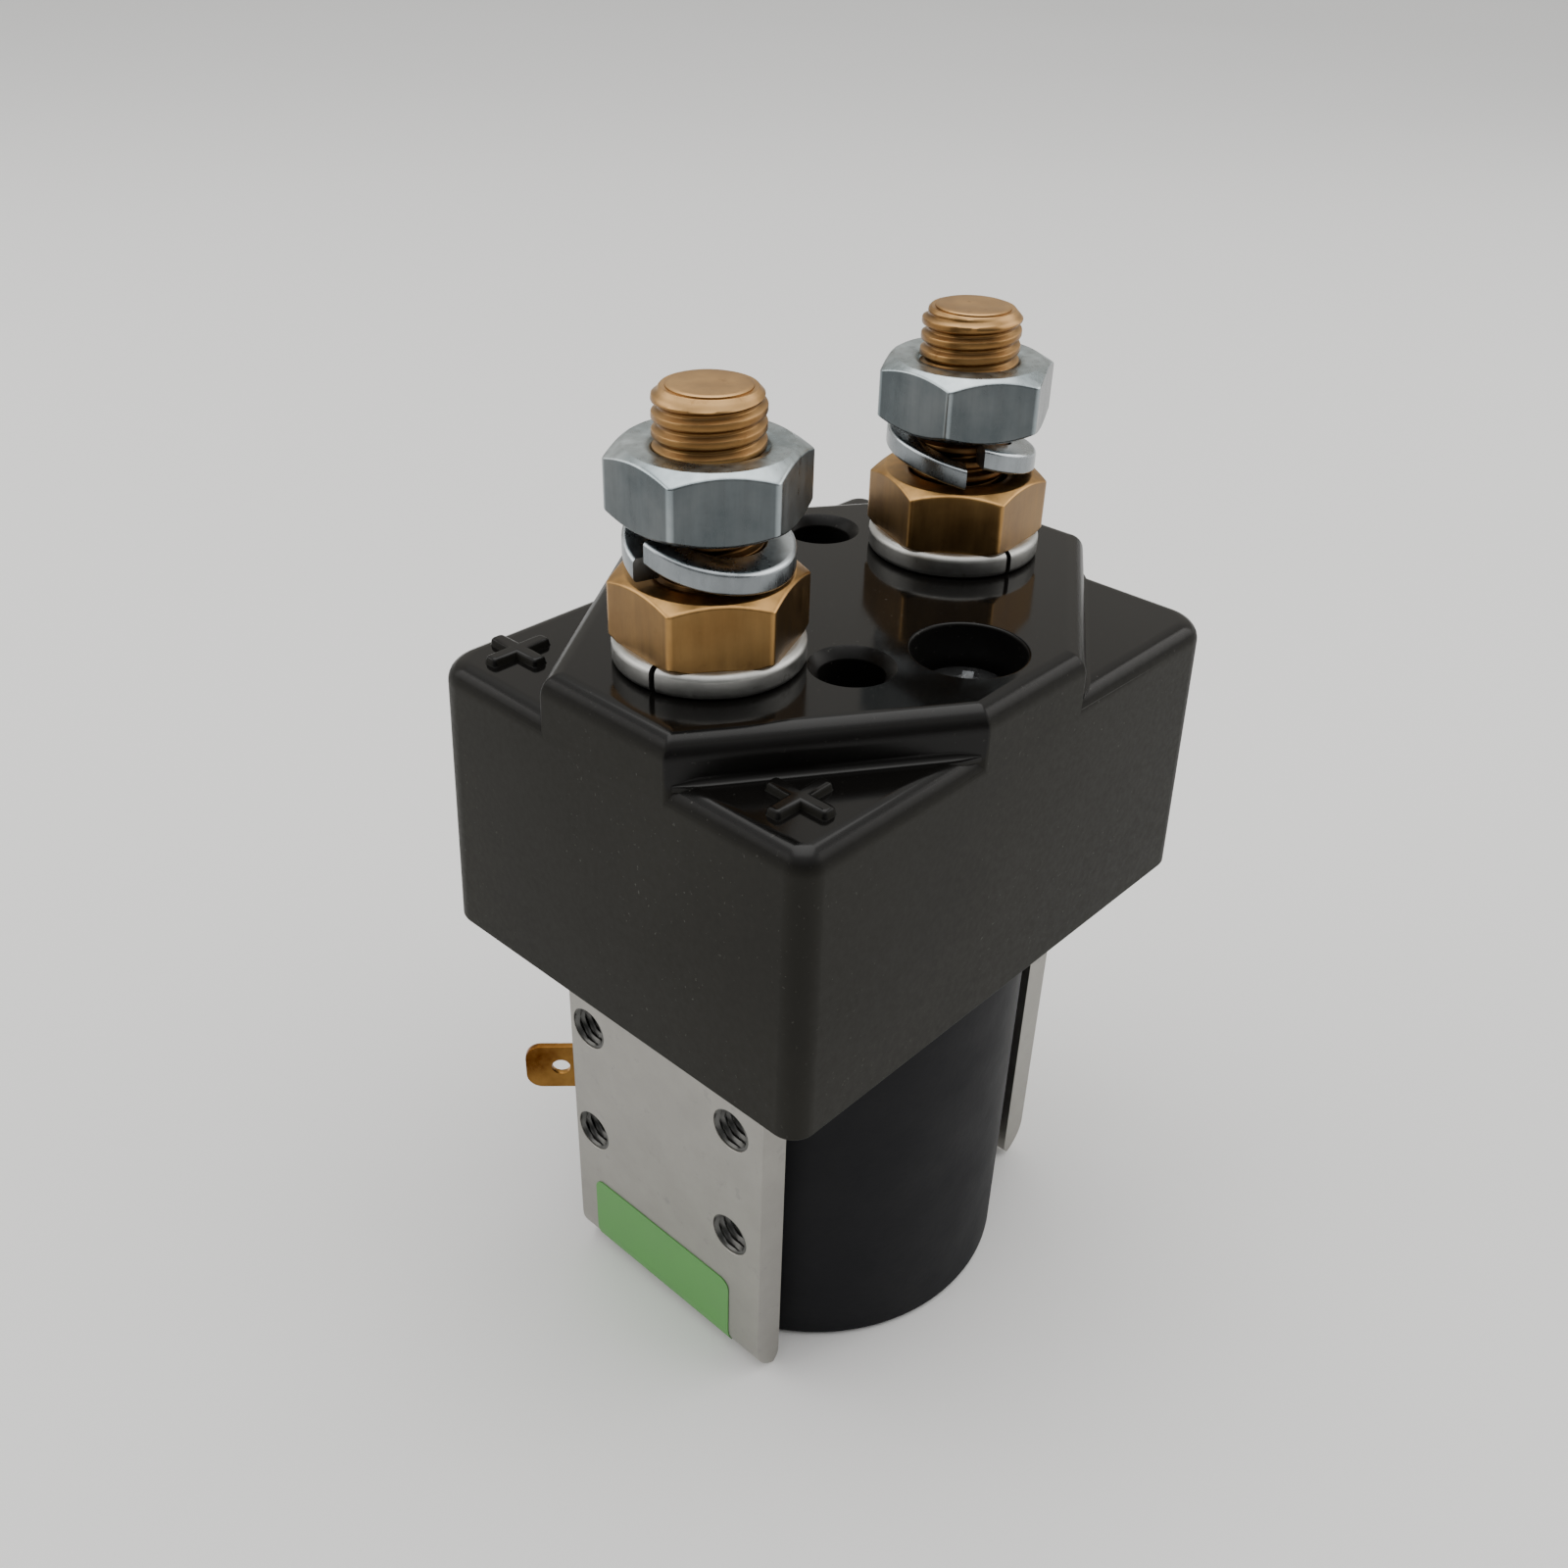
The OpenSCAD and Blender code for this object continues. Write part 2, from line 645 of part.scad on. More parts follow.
// Non-magnetic shaft, grooved near the top for the retaining clip
module plunger_shaft() {
    groove_r = shaft_r - groove_deep;
    color("gainsboro") rotate_extrude() polygon([
        [0, plunger_top - shaft_in], [shaft_r, plunger_top - shaft_in], [shaft_r, washer_top],
        [groove_r, washer_top], [groove_r, washer_top + clip_t], [shaft_r, washer_top + clip_t],
        [shaft_r, shaft_top - groove_deep], [groove_r, shaft_top], [0, shaft_top]
    ]);
}

module return_spring() {
    color("silver") coil_spring(return_mean_d, return_wire, return_turns, plunger_top, pocket_top);
}

// Fibre washer that the moving assembly comes down on
module buffer_washer() {
    color("saddlebrown") ring(insulator_d / 2, shaft_hole_r + fit_gap, plate_top, seat_base);
}

// Insulating seat, fixed on the shaft, that carries the contact spring
module spring_seat() {
    collar_r = (contact_mean_d - contact_wire) / 2 - fit_gap;
    color("burlywood") rotate_extrude() polygon([
        [shaft_r + press_gap, seat_base], [insulator_d / 2, seat_base],
        [insulator_d / 2, spring_base], [collar_r, spring_base],
        [collar_r, spring_base + collar_h], [shaft_r + press_gap, spring_base + collar_h]
    ]);
}

module contact_spring() {
    color("silver") coil_spring(contact_mean_d, contact_wire, contact_turns, spring_base, bush_z);
}

// Flanged bush that keeps the bridge off the shaft and takes the spring's push
module bridge_bush() {
    color("burlywood") rotate_extrude() polygon([
        [shaft_hole_r, bush_z], [insulator_d / 2, bush_z], [insulator_d / 2, bridge_z],
        [bush_d / 2, bridge_z], [bush_d / 2, bridge_top], [shaft_hole_r, bridge_top]
    ]);
}

// Copper bar that joins the two studs when the plunger is drawn up
module moving_bridge() {
    color("sienna") difference() {
        rounded_block(bridge_len, bridge_wid, bridge_corner_r, bridge_z, bridge_top);
        translate([0, 0, bridge_z - over]) cylinder(r = bush_d / 2 + fit_gap, h = bridge_t + 2 * over);
    }
}

module bridge_tips() {
    color("whitesmoke") for (side = sides) translate([side * stud_x, 0, 0])
        chamfered_bar(bridge_tip_d / 2, bridge_top, bridge_top + tip_t, 0, 0.3);
}

module bridge_washer() {
    color("burlywood") ring(insulator_d / 2, shaft_hole_r, bridge_top, washer_top);
}

// Open clip snapped into the shaft's groove
module shaft_clip() {
    color("dimgray") difference() {
        ring(clip_d / 2, shaft_r - groove_deep + press_gap, washer_top, washer_top + clip_t);
        translate([0, -shaft_r + groove_deep, washer_top - over])
            cube([clip_d, 2 * (shaft_r - groove_deep), clip_t + 2 * over]);
    }
}

// Cover block up to the low corners, leaning in and rounded along its upper edge
module cover_block() {
    hull() {
        for (x = sides, y = sides) {
            translate([x * (half_l - corner_r), y * (half_w - corner_r), cover_z])
                cylinder(r = corner_r, h = sliver, $fn = hull_fn);
            for (s = edge_steps) {
                z = low_z - edge_r * s[1];
                r = corner_r - edge_r * s[0];
                lean = lean_at(z);
                translate([x * (half_l - lean - corner_r), y * (half_w - lean - corner_r), z - sliver])
                    cylinder(r = r, h = sliver, $fn = hull_fn);
            }
        }
    }
}

// Raised top, whose sides run on from the cover's sides
module raised_top() {
    foot_z = low_z - edge_r - over;
    hull() {
        translate([0, 0, foot_z]) linear_extrude(sliver)
            offset(delta = -lean_at(foot_z) - sliver) polygon(plateau_plan);
        for (s = edge_steps) {
            z = plateau_z - edge_r * s[1];
            translate([0, 0, z - sliver]) linear_extrude(sliver)
                offset(delta = -lean_at(z) - sliver - edge_r * s[0]) polygon(plateau_plan);
        }
    }
}

// Raised plus mark beside the positive terminal, for the polarised contacts
module plus_mark() {
    for (turn = [0, 90]) rotate(turn) translate([0, 0, mark_h / 2 - sliver / 2])
        cube([mark_len, mark_wid, mark_h + sliver], center = true);
}

// Everything that is hollow inside the cover: plate recess, contact chamber and magnet pockets
module cover_hollows() {
    rounded_block(plate_len + 2 * plate_gap, plate_wid + 2 * plate_gap, plate_r + plate_gap,
        cover_z - over, plate_top);
    translate([-chamber_end, -chamber_half, plate_top - sliver])
        cube([2 * chamber_end, 2 * chamber_half, ceiling_z - plate_top + sliver]);
    for (side = sides) {
        translate([side > 0 ? arc_start : -chamber_end, -arc_half, plate_top - sliver])
            cube([chamber_end - arc_start, 2 * arc_half, ceiling_z - plate_top + sliver]);
        for (y = sides)
            translate([side * stud_x, y * magnet_y, (magnet_top + plate_top - sliver) / 2])
                cube([magnet_len + 2 * fit_gap, magnet_t + 2 * fit_gap,
                    magnet_top - plate_top + sliver], center = true);
        translate([side * stud_x, 0, ceiling_z - over]) intersection() {
            cylinder(r = head_d / 2 + fit_gap, h = head_in + over);
            translate([-head_d, -head_flats / 2 - fit_gap, 0])
                cube([2 * head_d, head_flats + 2 * fit_gap, head_in + over]);
        }
    }
}

// Holes that open in the raised top: studs, counterbored screws and the two moulded sockets
module cover_holes() {
    rim = socket_d / 2 + socket_chamfer;
    for (side = sides) {
        translate([side * stud_x, 0, ceiling_z]) cylinder(r = stud_hole_r, h = ceiling_t + over);
        translate([0, side * screw_y, plate_top - over])
            cylinder(r = screw_clear_r, h = screw_seat - plate_top + 2 * over);
        translate([0, side * screw_y, screw_seat]) cylinder(r = cbore_d / 2, h = cbore_deep + over);
    }
    for (at = [[-socket_front_x, -socket_front_y], [socket_back_x, socket_back_y]])
        translate([at[0], at[1], plateau_z]) rotate_extrude()
            polygon([[0, -socket_deep], [socket_d / 2, -socket_deep], [socket_d / 2, -socket_chamfer],
                [rim, 0], [rim, over], [0, over]]);
}

module top_cover() {
    color("#2b2926") difference() {
        union() {
            cover_block();
            raised_top();
            for (y = [mark_front_in - half_w, half_w - mark_back_in])
                translate([-half_l + mark_in_x, y, low_z]) plus_mark();
        }
        cover_hollows();
        cover_holes();
    }
}

// Four magnets, one on each side of each contact, that blow the arc outwards
module blowout_magnets() {
    color("slategray") for (x = sides, y = sides)
        translate([x * stud_x, y * magnet_y, magnet_top - magnet_h / 2])
            cube([magnet_len, magnet_t, magnet_h], center = true);
}

module stud_left() {
    terminal_stud(-stud_x);
}

module stud_right() {
    terminal_stud(stud_x);
}

module stud_tips() {
    color("whitesmoke") for (side = sides) translate([side * stud_x, 0, 0])
        chamfered_bar(stud_tip_d / 2, stud_tip_z, head_base, 0.3, 0);
}

// Spring washers pressed flat under the brass nuts, each with its slot
module seat_washers() {
    color("darkgray") for (i = [0, 1]) translate([sides[i] * stud_x, 0, 0]) difference() {
        ring(seat_washer_d / 2, stud_hole_r, plateau_z, brass_z);
        rotate(seat_slot_turn[i]) translate([0, -seat_washer_slot / 2, plateau_z - over])
            cube([seat_washer_d, seat_washer_slot, seat_washer_t + 2 * over]);
    }
}

module brass_nuts() {
    color("goldenrod") for (i = [0, 1]) translate([sides[i] * stud_x, 0, 0])
        hex_nut(brass_z, brass_nut_h, brass_turn[i], brass_foot);
}

module lock_washers() {
    color("lightsteelblue") for (i = [0, 1]) translate([sides[i] * stud_x, 0, 0])
        sprung_washer(lock_z, lock_gap_turn[i]);
}

module steel_nuts() {
    color("lightsteelblue") for (i = [0, 1]) translate([sides[i] * stud_x, 0, 0])
        hex_nut(steel_z, steel_nut_h, steel_turn[i], nut_chamfer);
}

// Pan-head screws that hold the cover to the pole plate
module cover_screws() {
    round_h = screw_head_h * 0.35;
    head_r = screw_head_d / 2;
    head_top = screw_head_z + screw_head_h;
    color("silver") for (y = sides) translate([0, y * screw_y, 0]) difference() {
        rotate_extrude() polygon([
            [0, screw_tip], [screw_r - 0.4, screw_tip], [screw_r, screw_tip + 0.4],
            [screw_r, screw_head_z], [head_r, screw_head_z], [head_r, head_top - round_h],
            [head_r - round_h * 0.3, head_top - round_h * 0.3], [head_r - round_h, head_top], [0, head_top]
        ]);
        for (turn = [0, 90]) rotate(turn + 30) translate([0, 0, head_top])
            cube([recess_len, recess_wid, 2 * recess_deep], center = true);
    }
}

module screw_washers() {
    color("silver") for (y = sides) translate([0, y * screw_y, 0]) difference() {
        ring(screw_head_d / 2, screw_r + fit_gap, screw_seat, screw_head_z);
        translate([0, -0.4, screw_seat - over]) cube([screw_head_d, 0.8, screw_washer_t + 2 * over]);
    }
}

// Blank label on the left arm, carried a little way round the bend
module blank_label() {
    face = -frame_span / 2;
    color("mediumseagreen") translate([0, label_y, 0]) rotate([90, 0, 0])
        linear_extrude(label_wid, center = true) union() {
            translate([face - label_t, bend_r]) square([label_t, label_flat]);
            translate([face + bend_r, bend_r]) intersection() {
                difference() {
                    circle(bend_r + label_t);
                    circle(bend_r);
                }
                polygon([[0, 0], [-2 * bend_r, 0], [-2 * bend_r, -2 * bend_r]]);
            }
        }
}

frame_yoke();
pole_plate();
fixed_core();
coil_bobbin();
coil_winding();
coil_jacket();
coil_tab_left();
coil_tab_right();
plunger();
plunger_shaft();
return_spring();
buffer_washer();
spring_seat();
contact_spring();
bridge_bush();
moving_bridge();
bridge_tips();
bridge_washer();
shaft_clip();
top_cover();
blowout_magnets();
stud_left();
stud_right();
stud_tips();
seat_washers();
brass_nuts();
lock_washers();
steel_nuts();
cover_screws();
screw_washers();
blank_label();
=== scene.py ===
import math
import bmesh
import bpy
import numpy as np
from mathutils import Matrix, Vector


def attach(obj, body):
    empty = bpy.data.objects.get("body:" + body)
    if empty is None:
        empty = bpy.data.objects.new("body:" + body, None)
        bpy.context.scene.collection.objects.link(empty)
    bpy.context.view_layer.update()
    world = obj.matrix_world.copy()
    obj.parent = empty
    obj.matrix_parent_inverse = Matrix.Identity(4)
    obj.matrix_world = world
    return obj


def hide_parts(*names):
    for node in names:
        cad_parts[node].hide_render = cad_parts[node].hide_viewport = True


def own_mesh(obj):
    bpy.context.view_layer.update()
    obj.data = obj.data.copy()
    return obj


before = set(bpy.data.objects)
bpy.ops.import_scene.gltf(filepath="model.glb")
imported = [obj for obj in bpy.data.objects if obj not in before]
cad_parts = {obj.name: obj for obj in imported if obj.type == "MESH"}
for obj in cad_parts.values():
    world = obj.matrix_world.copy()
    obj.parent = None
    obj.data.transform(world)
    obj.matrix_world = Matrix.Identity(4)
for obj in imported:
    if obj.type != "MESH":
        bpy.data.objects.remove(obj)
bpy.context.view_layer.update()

# Dc contactor. Lengths are in mm and angles in degrees up to where a mesh or a node takes them.
MM = 0.001
MERGE = 1e-6  # two points closer than this, in metres, are one
PITCH = 1.5  # of the M10 thread

# cover: half length and width at its foot, heights, lean of its sides, radii, screws, and the plan
# of its raised top
HALF_L, HALF_W = 32.25, 25.0
COVER_Z, LOW_Z, TOP_Z = 48.5, 79.1, 83.5
LEAN, CORNER_R, SIDE_CORNER_R, EDGE_R = 0.4, 2.5, 3.0, 2.2
SCREW_Y, BORE_DEPTH, SCREW_WASHER_T = 16.0, 8.3, 1.2
PLATEAU = [(-32.25, -8.7), (-8.15, -25.0), (7.25, -25.0), (32.25, -8.1),
           (32.25, 8.7), (8.15, 25.0), (-7.25, 25.0), (-32.25, 8.1)]

# plus marks: centres, and how far the outline spreads at each height over the low corner
PLUS_X, PLUS_Y = -25.35, (-18.0, 19.2)
PLUS_EDGE = [(0.08, -0.4), (0.08, 0.0), (0.04, 0.06), (0.0, 0.18), (-0.03, 0.45),
             (-0.09, 0.6), (-0.2, 0.72), (-0.34, 0.78), (-0.5, 0.8)]

# terminals: studs, feet of the nuts and spring washers, nuts across flats, radius of the washers'
# hole, and how far the left and the right nut are turned
STUD_X, STUD_TOP = 18.15, 108.9
BRASS_Z, LOCK_Z, STEEL_Z = 86.0, 92.2, 97.3
ACROSS_FLATS, WASHER_BORE = 15.96, 5.12
BRASS_TURNS, STEEL_TURNS = (22.7, 6.5), (24.3, 26.0)

# strap: half length, thickness, outer bend, arms' half width and top, places of the tapped holes
STRAP_X, STRAP_T, BEND_R, ARM_Y, ARM_TOP = 25.25, 3.5, 4.5, 14.75, 49.0
TAP_Y, TAP_Z = (-10.2, 11.8), (19.9, 35.4)

# coil tabs: their height and how far each is turned
TAB_Z, TAB_TURNS = 21.3, {"left": 135, "right": 45}


# ---------------------------------------------------------------- mesh helpers

def put(name, data):
    """An object of that name, linked to the scene."""
    obj = bpy.data.objects.new(name, data)
    bpy.context.scene.collection.objects.link(obj)
    return obj


def new_object(name, verts, faces, angle=32.0):
    """Mesh object from points in mm: doubles joined, faces turned outwards, smooth up to angle."""
    mesh = bpy.data.meshes.new(name)
    mesh.from_pydata([tuple(c * MM for c in v) for v in verts], [], faces)
    bm = bmesh.new()
    bm.from_mesh(mesh)
    bmesh.ops.remove_doubles(bm, verts=bm.verts, dist=MERGE)
    bmesh.ops.dissolve_degenerate(bm, edges=bm.edges, dist=MERGE / 2)
    bmesh.ops.recalc_face_normals(bm, faces=bm.faces)
    bm.to_mesh(mesh)
    bm.free()
    obj = put(name, mesh)
    shade(obj, angle)
    return obj


def shade(obj, angle):
    """Smooth shading apart from edges sharper than angle."""
    mesh = obj.data
    mesh.polygons.foreach_set("use_smooth", [True] * len(mesh.polygons))
    mesh.set_sharp_from_angle(angle=math.radians(angle))
    mesh.update()


def weigh(obj, angle):
    """Smooth shading in which the large flat faces stay flat."""
    shade(obj, angle)
    mod = obj.modifiers.new("weighted", "WEIGHTED_NORMAL")
    mod.keep_sharp = True
    mod.weight = 90


def bake(obj):
    """Applies the object's modifiers to its mesh."""
    graph = bpy.context.evaluated_depsgraph_get()
    mesh = bpy.data.meshes.new_from_object(obj.evaluated_get(graph))
    old = obj.data
    obj.modifiers.clear()
    obj.data = mesh
    mesh.name = obj.name
    bpy.data.meshes.remove(old)


def boolean(obj, other, operation="DIFFERENCE"):
    """Cuts other out of obj, or unites them, and removes other."""
    mod = obj.modifiers.new("cut", "BOOLEAN")
    mod.operation = operation
    mod.solver = "EXACT"
    mod.object = other
    bake(obj)
    bpy.data.objects.remove(other, do_unlink=True)


def bevel(obj, width):
    """Rounds the edges that are sharper than 40 degrees."""
    mod = obj.modifiers.new("bevel", "BEVEL")
    mod.width = width * MM
    mod.segments = 2
    mod.limit_method = "ANGLE"
    mod.angle_limit = math.radians(40.0)
    mod.harden_normals = False
    bake(obj)


def band(low, high, n):
    """Faces between ring number low and ring number high, which have n points each."""
    return [(low * n + i, low * n + (i + 1) % n, high * n + (i + 1) % n, high * n + i)
            for i in range(n)]


def loft(rings):
    """Points and faces of a solid through rings of equal length, closed at both ends."""
    n, last = len(rings[0]), len(rings) - 1
    faces = [face for k in range(last) for face in band(k, k + 1, n)]
    faces += [tuple(range(n - 1, -1, -1)), tuple(last * n + i for i in range(n))]
    return [p for ring in rings for p in ring], faces


def sleeve(rings):
    """Points and faces of a skin through rings of equal length, whose last one joins the first."""
    n, m = len(rings[0]), len(rings)
    faces = [face for k in range(m) for face in band(k, (k + 1) % m, n)]
    return [p for ring in rings for p in ring], faces


def polar(r, a, z, x=0.0, y=0.0):
    """Point at radius r and angle a, in radians, about the upright line through (x, y)."""
    return x + r * math.cos(a), y + r * math.sin(a), z


def revolve(name, profile, steps=96, at=(0, 0)):
    """Solid of revolution from (radius, z) points that run from the axis back to the axis."""
    n = len(profile)
    verts, faces = [], []
    for i in range(steps):
        j = (i + 1) % steps
        verts += [polar(r, 2 * math.pi * i / steps, z, *at) for r, z in profile]
        faces += [(i * n + k, j * n + k, j * n + k + 1, i * n + k + 1) for k in range(n - 1)]
    return new_object(name, verts, faces)


def box(name, low, high):
    """Box between its lowest and its highest corner."""
    x0, y0, z0 = low
    x1, y1, z1 = high
    verts = [(x, y, z) for z in (z0, z1) for x, y in ((x0, y0), (x1, y0), (x1, y1), (x0, y1))]
    faces = [(3, 2, 1, 0), (4, 5, 6, 7), (0, 1, 5, 4), (1, 2, 6, 5), (2, 3, 7, 6), (3, 0, 4, 7)]
    return new_object(name, verts, faces)


def join(objs, name):
    """One object from several, without changing their meshes' points."""
    bm = bmesh.new()
    for obj in objs:
        part = obj.data.copy()
        part.transform(obj.matrix_world)
        bm.from_mesh(part)
        bpy.data.meshes.remove(part)
    mesh = bpy.data.meshes.new(name)
    bm.to_mesh(mesh)
    bm.free()
    for obj in objs:
        bpy.data.objects.remove(obj, do_unlink=True)
    return put(name, mesh)


def quarter(steps):
    """Angles of a quarter turn in radians."""
    return np.radians(np.linspace(0, 90, steps))


def arc(cx, cy, r, a0, a1, steps):
    """Points of an arc about (cx, cy) from a0 to a1 degrees."""
    angles = [math.radians(a0 + (a1 - a0) * i / steps) for i in range(steps + 1)]
    return [(cx + r * math.cos(a), cy + r * math.sin(a)) for a in angles]


def rounded_rect(hx, hy, r):
    """Rectangle of half sizes hx and hy with its corners rounded by radius r."""
    pts = []
    for k, (sx, sy) in enumerate(((1, 1), (-1, 1), (-1, -1), (1, -1))):
        pts += arc(sx * (hx - r), sy * (hy - r), r, 90 * k, 90 * k + 90, 12)
    return pts


def corners_of(points):
    """Each corner of a polygon, with the one before it and the one after it."""
    n = len(points)
    for i in range(n):
        yield [np.array(points[(i + k) % n], float) for k in (-1, 0, 1)]


def offset_polygon(points, d):
    """A convex counter-clockwise polygon with each side moved inwards by d."""
    out = []
    for p0, p1, p2 in corners_of(points):
        e0, e1 = p1 - p0, p2 - p1
        n0 = np.array([-e0[1], e0[0]]) / np.linalg.norm(e0)
        n1 = np.array([-e1[1], e1[0]]) / np.linalg.norm(e1)
        out.append(tuple(np.linalg.solve(np.array([n0, n1]), np.array([n0 @ p1 + d, n1 @ p1 + d]))))
    return out


def round_polygon(points, r):
    """A convex polygon with its corners rounded by radius r."""
    steps = 6
    out = []
    for p0, p1, p2 in corners_of(points):
        u = (p0 - p1) / np.linalg.norm(p0 - p1)
        w = (p2 - p1) / np.linalg.norm(p2 - p1)
        half = math.acos(max(-1, min(1, u @ w))) / 2
        reach = r / math.tan(half)
        centre = p1 + (u + w) / np.linalg.norm(u + w) * (r / math.sin(half))
        a, b = p1 + u * reach - centre, p1 + w * reach - centre
        a0, a1 = math.atan2(a[1], a[0]), math.atan2(b[1], b[0])
        while a1 < a0:
            a1 += 2 * math.pi
        if a1 - a0 > math.pi:
            a1 -= 2 * math.pi
        for k in range(steps + 1):
            q = a0 + (a1 - a0) * k / steps
            out.append((centre[0] + r * math.cos(q), centre[1] + r * math.sin(q)))
    return out


# ---------------------------------------------------------------- node helpers

def node_material(name):
    """A material with its tree, its shader and the piece's own coordinates."""
    mat = bpy.data.materials.new(name)
    mat.use_nodes = True
    tree = mat.node_tree
    tree.nodes.clear()
    out = tree.nodes.new("ShaderNodeOutputMaterial")
    bsdf = tree.nodes.new("ShaderNodeBsdfPrincipled")
    tree.links.new(bsdf.outputs[0], out.inputs[0])
    coord = tree.nodes.new("ShaderNodeTexCoord")
    return mat, tree, bsdf, coord.outputs["Object"]


def noise(tree, vector, scale, detail, rough, stretch=None):
    """Noise from 0 to 1, drawn out where stretch is below 1."""
    if stretch:
        mapping = tree.nodes.new("ShaderNodeMapping")
        mapping.inputs["Scale"].default_value = stretch
        tree.links.new(vector, mapping.inputs["Vector"])
        vector = mapping.outputs[0]
    node = tree.nodes.new("ShaderNodeTexNoise")
    node.inputs["Scale"].default_value = scale
    node.inputs["Detail"].default_value = detail
    node.inputs["Roughness"].default_value = rough
    tree.links.new(vector, node.inputs["Vector"])
    return node.outputs["Fac"]


def ramp(tree, fac, stops):
    """Colour ramp; a stop is a place and a colour or a grey."""
    node = tree.nodes.new("ShaderNodeValToRGB")
    el = node.color_ramp.elements
    while len(el) > len(stops):
        el.remove(el[-1])
    while len(el) < len(stops):
        el.new(1.0)
    for e, (p, c) in zip(el, stops):
        e.position = p
        e.color = (*c, 1.0) if isinstance(c, (tuple, list)) else (c, c, c, 1.0)
    tree.links.new(fac, node.inputs[0])
    return node.outputs[0]


def span(tree, fac, lo, hi, from_lo=0.3, from_hi=0.7):
    """lo to hi as fac goes from from_lo to from_hi, and no further."""
    node = tree.nodes.new("ShaderNodeMapRange")
    for name, val in (("From Min", from_lo), ("From Max", from_hi), ("To Min", lo), ("To Max", hi)):
        node.inputs[name].default_value = val
    tree.links.new(fac, node.inputs["Value"])
    return node.outputs[0]


def feed(tree, sock, val):
    """Sets a socket to a number or colour, or links it."""
    if isinstance(val, (int, float)):
        sock.default_value = val
    elif isinstance(val, (tuple, list)):
        sock.default_value = (*val, 1.0)
    else:
        tree.links.new(val, sock)


def mix(tree, fac, a, b, kind="MIX"):
    """a where fac is 0 and b where it is 1, each a colour or a socket."""
    node = tree.nodes.new("ShaderNodeMix")
    node.data_type = "RGBA"
    node.blend_type = kind
    for number, val in ((0, fac), (6, a), (7, b)):  # factor and the two colour sockets
        feed(tree, node.inputs[number], val)
    return node.outputs[2]


def value(tree, kind, *values):
    """A Math node of that kind on numbers or sockets."""
    node = tree.nodes.new("ShaderNodeMath")
    node.operation = kind
    for sock, val in zip(node.inputs, values):
        feed(tree, sock, val)
    return node.outputs[0]


def times(tree, a, b):
    """a times b."""
    return value(tree, "MULTIPLY", a, b)


def size_of(tree, a):
    """a without its sign."""
    return value(tree, "ABSOLUTE", a)


def split(tree, vector):
    """The x, y and z of a vector."""
    node = tree.nodes.new("ShaderNodeSeparateXYZ")
    tree.links.new(vector, node.inputs[0])
    return tuple(node.outputs)


def normal_parts(tree):
    """The x, y and z of the surface's normal."""
    return split(tree, tree.nodes.new("ShaderNodeNewGeometry").outputs["Normal"])


def surface(tree, bsdf, colour, roughness, height, strength, distance):
    """Links colour, roughness unless None, and a bump of that distance in mm to the shader."""
    tree.links.new(colour, bsdf.inputs["Base Color"])
    if roughness:
        tree.links.new(roughness, bsdf.inputs["Roughness"])
    node = tree.nodes.new("ShaderNodeBump")
    node.inputs["Strength"].default_value = strength
    node.inputs["Distance"].default_value = distance * MM
    tree.links.new(height, node.inputs["Height"])
    tree.links.new(node.outputs[0], bsdf.inputs["Normal"])


# ---------------------------------------------------------------- materials

def nut_corner_highlight(tree, pos, turns):
    """1 along the upright corners of the left and right nut, which are turned by turns, as a
    painted highlight.
    """
    # cosine of six times the angle from a corner, where the painted highlight starts and where it
    # is full
    highlight_band = (0.965, 0.999)
    x, y, _ = split(tree, pos)
    angle = value(tree, "ARCTAN2", y, value(tree, "SUBTRACT", size_of(tree, x), STUD_X * MM))
    left, right = (math.radians(6 * t) for t in turns)
    turn = value(tree, "MULTIPLY_ADD", value(tree, "GREATER_THAN", x, 0.0), left + right, -left)
    wave = value(tree, "COSINE", value(tree, "SUBTRACT", times(tree, angle, 6.0), turn))
    return span(tree, wave, 0.0, 1.0, *highlight_band)


def dirt_and_groove_shade(tree, pos, colour, heights):
    """colour with dirt between two heights in mm, and painted shade in the thread grooves below the
    stud's top.
    """
    # colour of the dirt, and colour of the painted shade in the thread grooves
    dirt, groove_shade = (0.07, 0.035, 0.014), (0.10, 0.05, 0.016)
    root, flank = 4.45 * MM, 4.9 * MM
    x, y, z = split(tree, pos)
    low, high = (h * MM for h in heights)
    inside = times(tree, span(tree, z, 0.0, 1.0, low, low + MM),
                   span(tree, z, 1.0, 0.0, high - MM, high))
    colour = mix(tree, times(tree, inside, 0.8), colour, dirt)
    away = value(tree, "SUBTRACT", size_of(tree, x), STUD_X * MM)
    radius = value(tree, "SQRT", value(tree, "ADD", times(tree, away, away), times(tree, y, y)))
    # painted shade in the thread grooves
    groove = times(tree, span(tree, radius, 1.0, 0.0, root, flank),
                   span(tree, z, 1.0, 0.0, (STUD_TOP - 0.8) * MM, (STUD_TOP - 0.5) * MM))
    return mix(tree, times(tree, groove, 0.6), colour, groove_shade)


